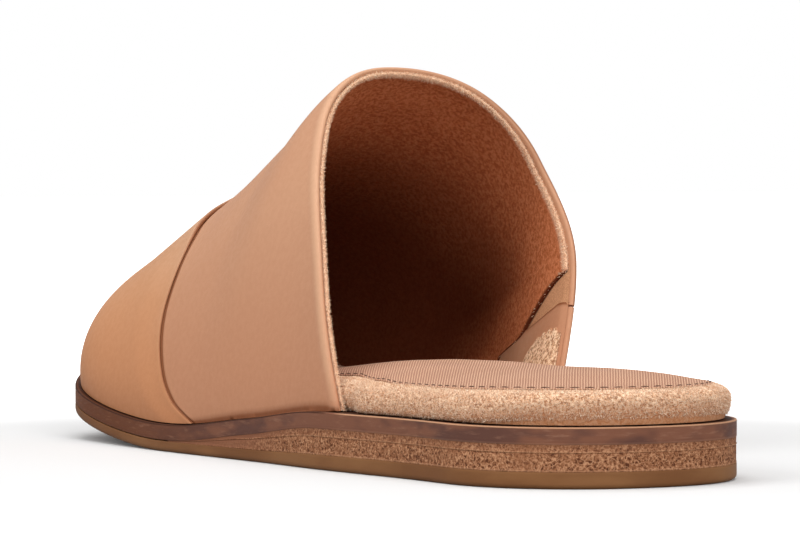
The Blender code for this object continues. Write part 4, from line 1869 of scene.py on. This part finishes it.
    def toe_piece(self) -> bpy.types.Object:
        """Toe piece whose folded lip laps over the vamp."""
        form, angles = self.form, self.angles()
        seam, step, toe = form.seam(angles), form.toe_step, form.toe
        lip = seam + self.lip
        out_place = toe - (toe - lip) * stations(0.0, 1.0, 90)[1:, None] ** self.toe_crowding
        pared = self.lip_pared.at(angles)
        out_depth = -step * (1 - pared * self.paring.at(out_place - seam))
        turn = half_turn(8)
        lip_fold = fold(lip, self.lip_bulge, -step * (1 - pared), 0.0, turn)
        crowded = 1 - (1 - stations(0.0, 1.0, 44)[:-1, None]) ** self.toe_crowding
        in_place = lip + (toe - form.leather - lip) * crowded
        under = self.lap_slope.at(in_place - seam - self.lap)
        in_depth = -self.lap_clearance + (form.leather + self.lap_clearance) * under
        places, depths = join((out_place, out_depth), lip_fold, (in_place, in_depth))
        outer = depths < -0.1
        # painted shade towards the foot, darker towards the tip, and a painted highlight by the seam
        tone = self.toe_foot.at(foot_distance(angles)) * outer + self.toe_tip.at(toe - places)
        tone -= self.toe_light.at(places - seam) * outer
        folded = slice(len(out_place), len(out_place) + len(turn))
        # painted shadow in the fold under the lip's edge
        lip_shadow_tone = self.lip_dark + self.lip_darker * (1 - np.cos(turn)) / 2
        tone[folded] = lip_shadow_tone * (1 - self.lip_bright.at(angles))
        tips = self.tip(toe + step, toe), self.tip(toe - form.leather, toe)
        maker = self.shell("toe_piece", places, angles, depths, tone, tips)
        return dress(maker.make(), self.toe_leather.material(), "upper")

    def lining_piece(self) -> bpy.types.Object:
        """Napped lining inside the whole upper, with a raw edge just short of the topline."""
        form = self.form
        angles = self.angles(float(form.lining_end_rows.places[-1]))
        end = self.lining_end(angles)
        outer, inner = form.leather + self.glue, form.leather + form.lining
        toe = form.toe - form.leather - form.lining
        crowded = stations(0.0, 1.0, 70)[1:, None] ** self.lining_crowding
        nose = toe - self.lining_nose
        in_place = nose - (nose - end) * crowded
        rise, size, seed = self.lumps
        lumps = rise * ripple(form.face(in_place, angles), size, seed)
        in_depth = inner + lumps * self.lumps_start.at(in_place - end)
        edge = fold(end, self.lining_edge, inner, outer, half_turn(6))
        out_place = end + (toe - end) * stations(0.0, 1.0, 20)[:-1, None]
        places, depths = join((in_place, in_depth), edge, (out_place, outer))
        inside, cut = places - end, self.cut_end.at(angles)
        # painted shade further inside and a painted shadow at the cut end; the raw edge is pale
        tone = (1 - cut) * self.raw_edge.at(inside) + cut * self.dark_edge.at(inside)
        tone += self.inner_shade.at(inside) + self.toe_dark.at(inside)
        tips = self.tip(toe, toe), self.tip(toe, toe)
        maker = self.shell("lining", places, angles, depths, tone, tips)
        return dress(maker.make(), self.lining.material(), "upper")

    def edge_nap(self) -> bpy.types.Object:
        """Pale fibres along the lining's raw edge."""
        form = self.form
        angles = self.angles(float(form.lining_end_rows.places[-1]))
        end = self.lining_end(angles)
        outer, inner = form.leather + self.glue, form.leather + form.lining
        turn = stations(0.1, math.pi - 0.1, 5)[:, None]
        edge = fold(end, self.lining_edge, outer, inner, turn)
        places, depths = join(edge, (end + stations(0.4, 9.0, 8)[:, None], inner))
        cover = 1.0 - smooth_step(places - end, -0.1, 1.0)
        cover = cover * (1 - self.bald_cut * self.cut_end.at(angles))
        points = form.wall(places, angles, depths)
        maker = MeshMaker("edge_ground", self.origin)
        maker.grid(points, cover)
        ground = open_out(maker.make(), points, self.origin)
        return dress(self.fuzz.grow("lining_edge_nap", ground, self.nap), None, None)

    def build(self) -> list[bpy.types.Object]:
        """Build the upper's leather, its lining and the nap on its edge."""
        return [self.vamp(), self.toe_piece(), self.lining_piece(), self.edge_nap()]


@dataclass(frozen=True)
class Patch:
    """Thin sheet inside the side tab, below a line and ahead of the topline."""

    name: str
    front: float  # where it ends towards the toe
    setback: float  # how far it stays ahead of the topline
    above: float  # how far it lies inside the leather
    thickness: float
    dark: float  # painted shade: tone of its upper edge and its back
    lit: Fade  # painted light: how much paler it grows towards its front
    bound: Table  # its upper edge, as angles by place along the shoe


@dataclass
class Slit(LeatherWork):
    """Side tab behind the slit, with its facing, its napped patch and the stitched elastic gore."""

    tab_gap: float = 0.35  # between vamp and tab along the slit
    tab_turn: float = 0.3  # the same in degrees at its top
    gore_start: float = 159.0
    gore_end: float = 171.4
    gore_tuck: float = 0.25  # how far it starts behind the lining's end
    gore_setback: float = 0.6
    gore_least: float = 2.0  # its least width
    gore_depth: float = 0.05  # how far it lies inside the leather
    gore_edge: float = 0.06  # its thickness at the back, before it grows
    gore_thickness: Fade = Fade(0.3, 0.0, 2.4)
    gore_shade: Bell = Bell(1.0, -0.3, 0.9)
    stitch_start: float = 158.2
    stitch_end: float = 178.0
    stitch_lift: float = 0.08
    stitch_rows: tuple[float, ...] = (0.0, 1.9)
    patch_guess: float = 172.0  # first guess of the angle of a patch's edge
    patch_pared: Fade = Fade(1.0, 0.0, 2.6)
    patch_edge: Bell = Bell(1.0, 0.0, 0.55)
    patch_fall: Bell = Bell(0.12, 0.0, 0.3)
    stitch_line: Table = Table(
        "angle from_heel",
        (161.3, 121.3), (165.0, 129.3), (168.7, 133.5), (172.4, 136.9), (174.6, 139.3), (178.0, 141.5),
    )
    facing: Patch = Patch(
        "tab_facing", front=150.0, setback=0.45, above=0.02, thickness=0.7, dark=1.0,
        lit=Fade(0.35, 108.0, 128.0),
        bound=Table(
            "from_heel angle",
            (100.5, 166.0), (103.0, 165.3), (106.4, 165.0), (109.7, 165.0), (112.1, 165.5),
            (114.4, 165.9), (116.6, 166.3), (119.2, 166.8), (122.0, 167.3), (126.0, 167.9),
            (130.8, 168.6), (136.7, 169.3), (150.0, 170.6),
        ),
    )
    napped: Patch = Patch(
        "tab_lining", front=123.0, setback=1.6, above=0.55, thickness=0.6, dark=0.4,
        lit=Fade(0.0, 108.0, 128.0),
        bound=Table(
            "from_heel angle",
            (96.0, 170.4), (104.0, 170.2), (106.0, 169.3), (107.4, 169.9), (109.0, 169.2),
            (110.5, 170.0), (112.2, 169.5), (113.5, 170.4), (115.4, 170.1), (117.2, 171.1),
            (119.4, 172.0), (123.0, 176.0),
        ),
    )
    suede: Suede = Suede(
        "patch_suede", light=(0.95, 0.70, 0.48), mid=(0.70, 0.42, 0.25), dark=(0.28, 0.12, 0.055),
        pale=(0.92, 0.74, 0.55), deep=(0.46, 0.18, 0.075), grain=0.9,
    )
    thread: Plain = Plain("tan_thread", base=(0.60, 0.36, 0.22), shade=(0.46, 0.25, 0.14))
    elastic: Plain = Plain("gore_weave", base=(0.62, 0.32, 0.17), shade=(0.48, 0.235, 0.12))
    fuzz: Fuzz = Fuzz(length=0.9, thickness=0.2, per_square_mm=16.0, tilt=60.0, seed=33)
    stitch: StitchRow = StitchRow(stitch=1.7, spacing=2.3, thickness=0.42)

    def side_tab(self) -> bpy.types.Object:
        """Leather corner behind the slit."""
        form = self.form
        angles = np.minimum(self.slit_angles()[1:] + self.tab_turn, MEDIAL_BASE)
        front = form.slit(angles - self.tab_turn) - self.tab_gap
        back = form.topline(angles) + self.roll
        across = stations(0.0, 1.0, 30)[:, None]
        out_place, in_place = front + (back - front) * across, back + (front - back) * across
        roll = fold(back, self.roll * self.roll_bulge, 0.0, form.leather, half_turn(10))
        places, depths = join((out_place, 0.0), roll, (in_place, form.leather))
        maker = self.shell("side_tab_leather", places, angles, depths, 0.0)
        return dress(maker.make(), self.vamp_leather.material(), "side_tab")

    def patch(self, patch: Patch) -> tuple[MeshMaker, Array]:
        """Make a patch inside the tab.

        Args:
            patch: its sizes.

        Returns:
            The maker, and the sheet's inner face as a grid.
        """
        form, bound = self.form, patch.bound
        along = stations(0.0, 1.0, 44)[:, None]
        down = stations(0.0, 1.0, 26) ** 1.3  # closer together by the upper edge
        angle = self.patch_guess + (MEDIAL_BASE - self.patch_guess) * down
        for _ in range(6):  # the edge's angle and the topline's place depend on each other
            rear = form.topline(angle) + patch.setback
            place = rear + (patch.front - rear) * along
            top = bound.read("angle", np.clip(place, bound.places[0], bound.places[-1]))
            angle = top + (MEDIAL_BASE - top) * down
        below = angle - top
        depth = form.leather + patch.above
        inner = depth + self.glue + (patch.thickness - self.glue) * self.patch_pared.at(place - rear)
        face = form.wall(place, angle, inner - self.patch_fall.at(below))
        back = form.wall(place, angle, depth)
        maker = MeshMaker(patch.name, self.origin)
        # painted shadow along the upper edge, painted light towards the front
        tone = patch.dark * self.patch_edge.at(below) - patch.lit.at(place)
        first = maker.grid(face, tone)
        last = maker.grid(back, patch.dark)
        for side in (np.s_[0, :], np.s_[-1, :], np.s_[:, 0], np.s_[:, -1]):
            maker.bridge(first[side], last[side])
        return maker, face

    def tab_facing(self) -> bpy.types.Object:
        """Smooth facing inside the tab, with a thin line of painted shadow over a slight fall where it
        meets the elastic.
        """
        maker, _ = self.patch(self.facing)
        return dress(maker.make(), self.vamp_leather.material(), "side_tab")

    def tab_lining(self) -> list[bpy.types.Object]:
        """Napped patch low inside the tab, with its raw upper edge."""
        maker, face = self.patch(self.napped)
        piece = dress(maker.make(), self.suede.material(), "side_tab")
        ground = MeshMaker("patch_ground", self.origin)
        ground.grid(face, 1.0)
        open_ground = open_out(ground.make(), face, self.origin)
        fibres = self.fuzz.grow("tab_nap", open_ground, self.nap)
        return [piece, dress(fibres, None, None)]

    def gore(self) -> bpy.types.Object:
        """Elastic strip across the slit, behind the lining's end."""
        form = self.form
        angles = stations(self.gore_start, self.gore_end, 30)
        back = form.topline(angles) + self.gore_setback
        front = np.maximum(self.lining_end(angles) - self.gore_tuck, back + self.gore_least)
        out_place = front + (back - front) * stations(0.0, 1.0, 24)[:, None]
        depth = form.leather + self.gore_depth
        rise = self.gore_edge + self.gore_thickness.at(out_place - back)
        places, depths = join((out_place, depth), (out_place[::-1], (depth + rise)[::-1]))
        maker = self.shell("gore_strip", places, angles, depths, self.gore_shade.at(places - front))
        piece = dress(maker.make(), self.elastic.material(), "elastic_gore")
        face = form.wall(out_place, angles, depth) * MM
        across, along = (np.diff(face, axis=k) for k in (0, 1))
        area = np.linalg.norm(np.cross(across[:, 1:], along[1:]), axis=-1).sum()
        length = np.linalg.norm(along, axis=-1).sum(axis=1).min()
        width = max(np.linalg.norm(across, axis=-1).sum(axis=0).max(), area / length)
        log.info("gore: %.3f x %.3f m, %.6f square metres", width, length, area)
        return piece

    def stitches(self) -> bpy.types.Object:
        """Double row of stitches that holds the gore, in front of the slit."""
        angles = stations(self.stitch_start, self.stitch_end, 60)
        line = self.stitch_line.read("from_heel", angles)
        lines = [self.form.wall(line + row, angles, -self.stitch_lift) for row in self.stitch_rows]
        return dress(self.stitch.sew("gore_stitches", lines, self.origin, self.thread), None)

    def build(self) -> list[bpy.types.Object]:
        """Build the tab, what lines it, the gore and its stitches."""
        return [self.side_tab(), self.tab_facing(), *self.tab_lining(), self.gore(), self.stitches()]


# --- floor, lights and camera --------------------------------------------------------------------


@dataclass(frozen=True)
class Lamp:
    """Large soft light: where it stands in metres, its edge length and its power in watts."""

    name: str
    place: tuple[float, float, float]
    size: float
    power: float


@dataclass
class Studio:
    """Floor, lights and camera."""

    centre: Vector  # middle of the shoe
    aim_height: float = 0.044
    camera_place: tuple[float, float, float] = (0.5913, 1.0916, 0.0832)
    lens: float = 222.0
    sensor: float = 36.0
    floor_size: float = 8.0
    floor_felt: float = 0.40  # grey of the floor as the shoe's bounce light sees it
    floor_seen: float = 0.70  # and as the camera sees it
    ambient: float = 0.35
    glow_start: float = 0.15  # the floor brightens to white from this far out
    glow_end: float = 0.30
    least_glow: float = 0.05
    lamps: tuple[Lamp, ...] = (
        Lamp("key", (0.5, 1.9, 1.2), 1.4, 25.0),
        Lamp("side", (1.9, 0.0, 1.3), 1.4, 19.0),
        Lamp("top", (0.1, -0.3, 2.3), 2.2, 37.0),
        Lamp("fill", (-1.3, 1.6, 0.8), 1.2, 7.0),
    )

    def aim(self, thing: bpy.types.Object, place: tuple[float, float, float]) -> None:
        """Put a light or a camera at its place and turn it to the shoe.

        Args:
            thing: the light or camera.
            place: where it stands, in metres.
        """
        target = Vector((self.centre.x, self.centre.y, self.aim_height))
        thing.location = place
        thing.rotation_euler = (target - Vector(place)).to_track_quat("-Z", "Y").to_euler()

    def floor(self) -> None:
        """Plain pale floor."""
        half = self.floor_size / 2
        corners = [(-half, -half, 0), (half, -half, 0), (half, half, 0), (-half, half, 0)]
        mesh = bpy.data.meshes.new("floor")
        mesh.from_pydata(corners, [], [(0, 1, 2, 3)])
        paint = Paint("floor_paper")
        seen = paint.add("ShaderNodeLightPath", {}).outputs["Is Camera Ray"]
        colour = paint.mix(seen, (self.floor_felt,) * 3, (self.floor_seen,) * 3)
        away = paint.add("ShaderNodeVectorMath", {0: paint.place()}, operation="LENGTH").outputs["Value"]
        far = paint.fit(away, self.glow_start / MM, self.glow_end / MM, to_low=self.least_glow)
        material = paint.done(
            Base_Color=colour, Roughness=0.9, Specular_IOR_Level=0.0,
            Emission_Color=(1.0, 1.0, 1.0), Emission_Strength=paint.math("MULTIPLY", far, seen),
        )
        mesh.materials.append(material)
        link("floor", mesh)

    def light(self, lamp: Lamp) -> None:
        """Large soft light aimed at the shoe.

        Args:
            lamp: its place, size and power.
        """
        data = bpy.data.lights.new(lamp.name, "AREA")
        data.size, data.energy = lamp.size, lamp.power
        self.aim(link(lamp.name, data), lamp.place)

    def sky(self) -> None:
        """White backdrop for the eye and a dimmer white light from all round."""
        world = bpy.data.worlds.new("studio")
        bpy.context.scene.world = world
        world.use_nodes = True
        tree = Wiring(world.node_tree)
        seen, felt = (
            tree.add("ShaderNodeBackground", {"Color": (1, 1, 1), "Strength": strength}).outputs[0]
            for strength in (1.0, self.ambient)
        )
        direct = tree.add("ShaderNodeLightPath", {}).outputs["Is Camera Ray"]
        mix = tree.add("ShaderNodeMixShader", {0: direct, 1: felt, 2: seen})
        tree.put(tree.nodes["World Output"].inputs["Surface"], mix.outputs[0])

    def camera(self) -> None:
        """Camera at its place, aimed at the shoe."""
        data = bpy.data.cameras.new("camera")
        data.lens, data.sensor_width = self.lens, self.sensor
        data.clip_start, data.clip_end = 0.05, 50.0
        camera = link("camera", data)
        self.aim(camera, self.camera_place)
        bpy.context.scene.camera = camera

    def build(self) -> None:
        """Set everything up."""
        self.sky()
        bpy.context.scene.view_settings.view_transform = "Standard"
        self.floor()
        for lamp in self.lamps:
            self.light(lamp)
        self.camera()


def main() -> None:
    """Build the shoe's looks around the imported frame."""
    logging.basicConfig(level=logging.INFO, format="%(message)s")
    low, high = CAD_BOX
    rubber_low, rubber_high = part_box("outsole")
    sole = SoleForm(length=(rubber_high.y - rubber_low.y) / MM)
    widest = sole.outline(stations(0.0, sole.length, 400), 0.0)[0].max()
    origin = Vector((rubber_high.x / MM - widest, -sole.length / 2, 0.0))
    log.info("origin %s", origin)
    upper = UpperForm(sole=sole)
    Bottom(sole, origin).build()
    Cushion(sole, upper, origin).build()
    Upper(upper, origin).build()
    Slit(upper, origin).build()
    Studio(centre=(low + high) / 2).build()


if __name__ == "__main__":
    main()
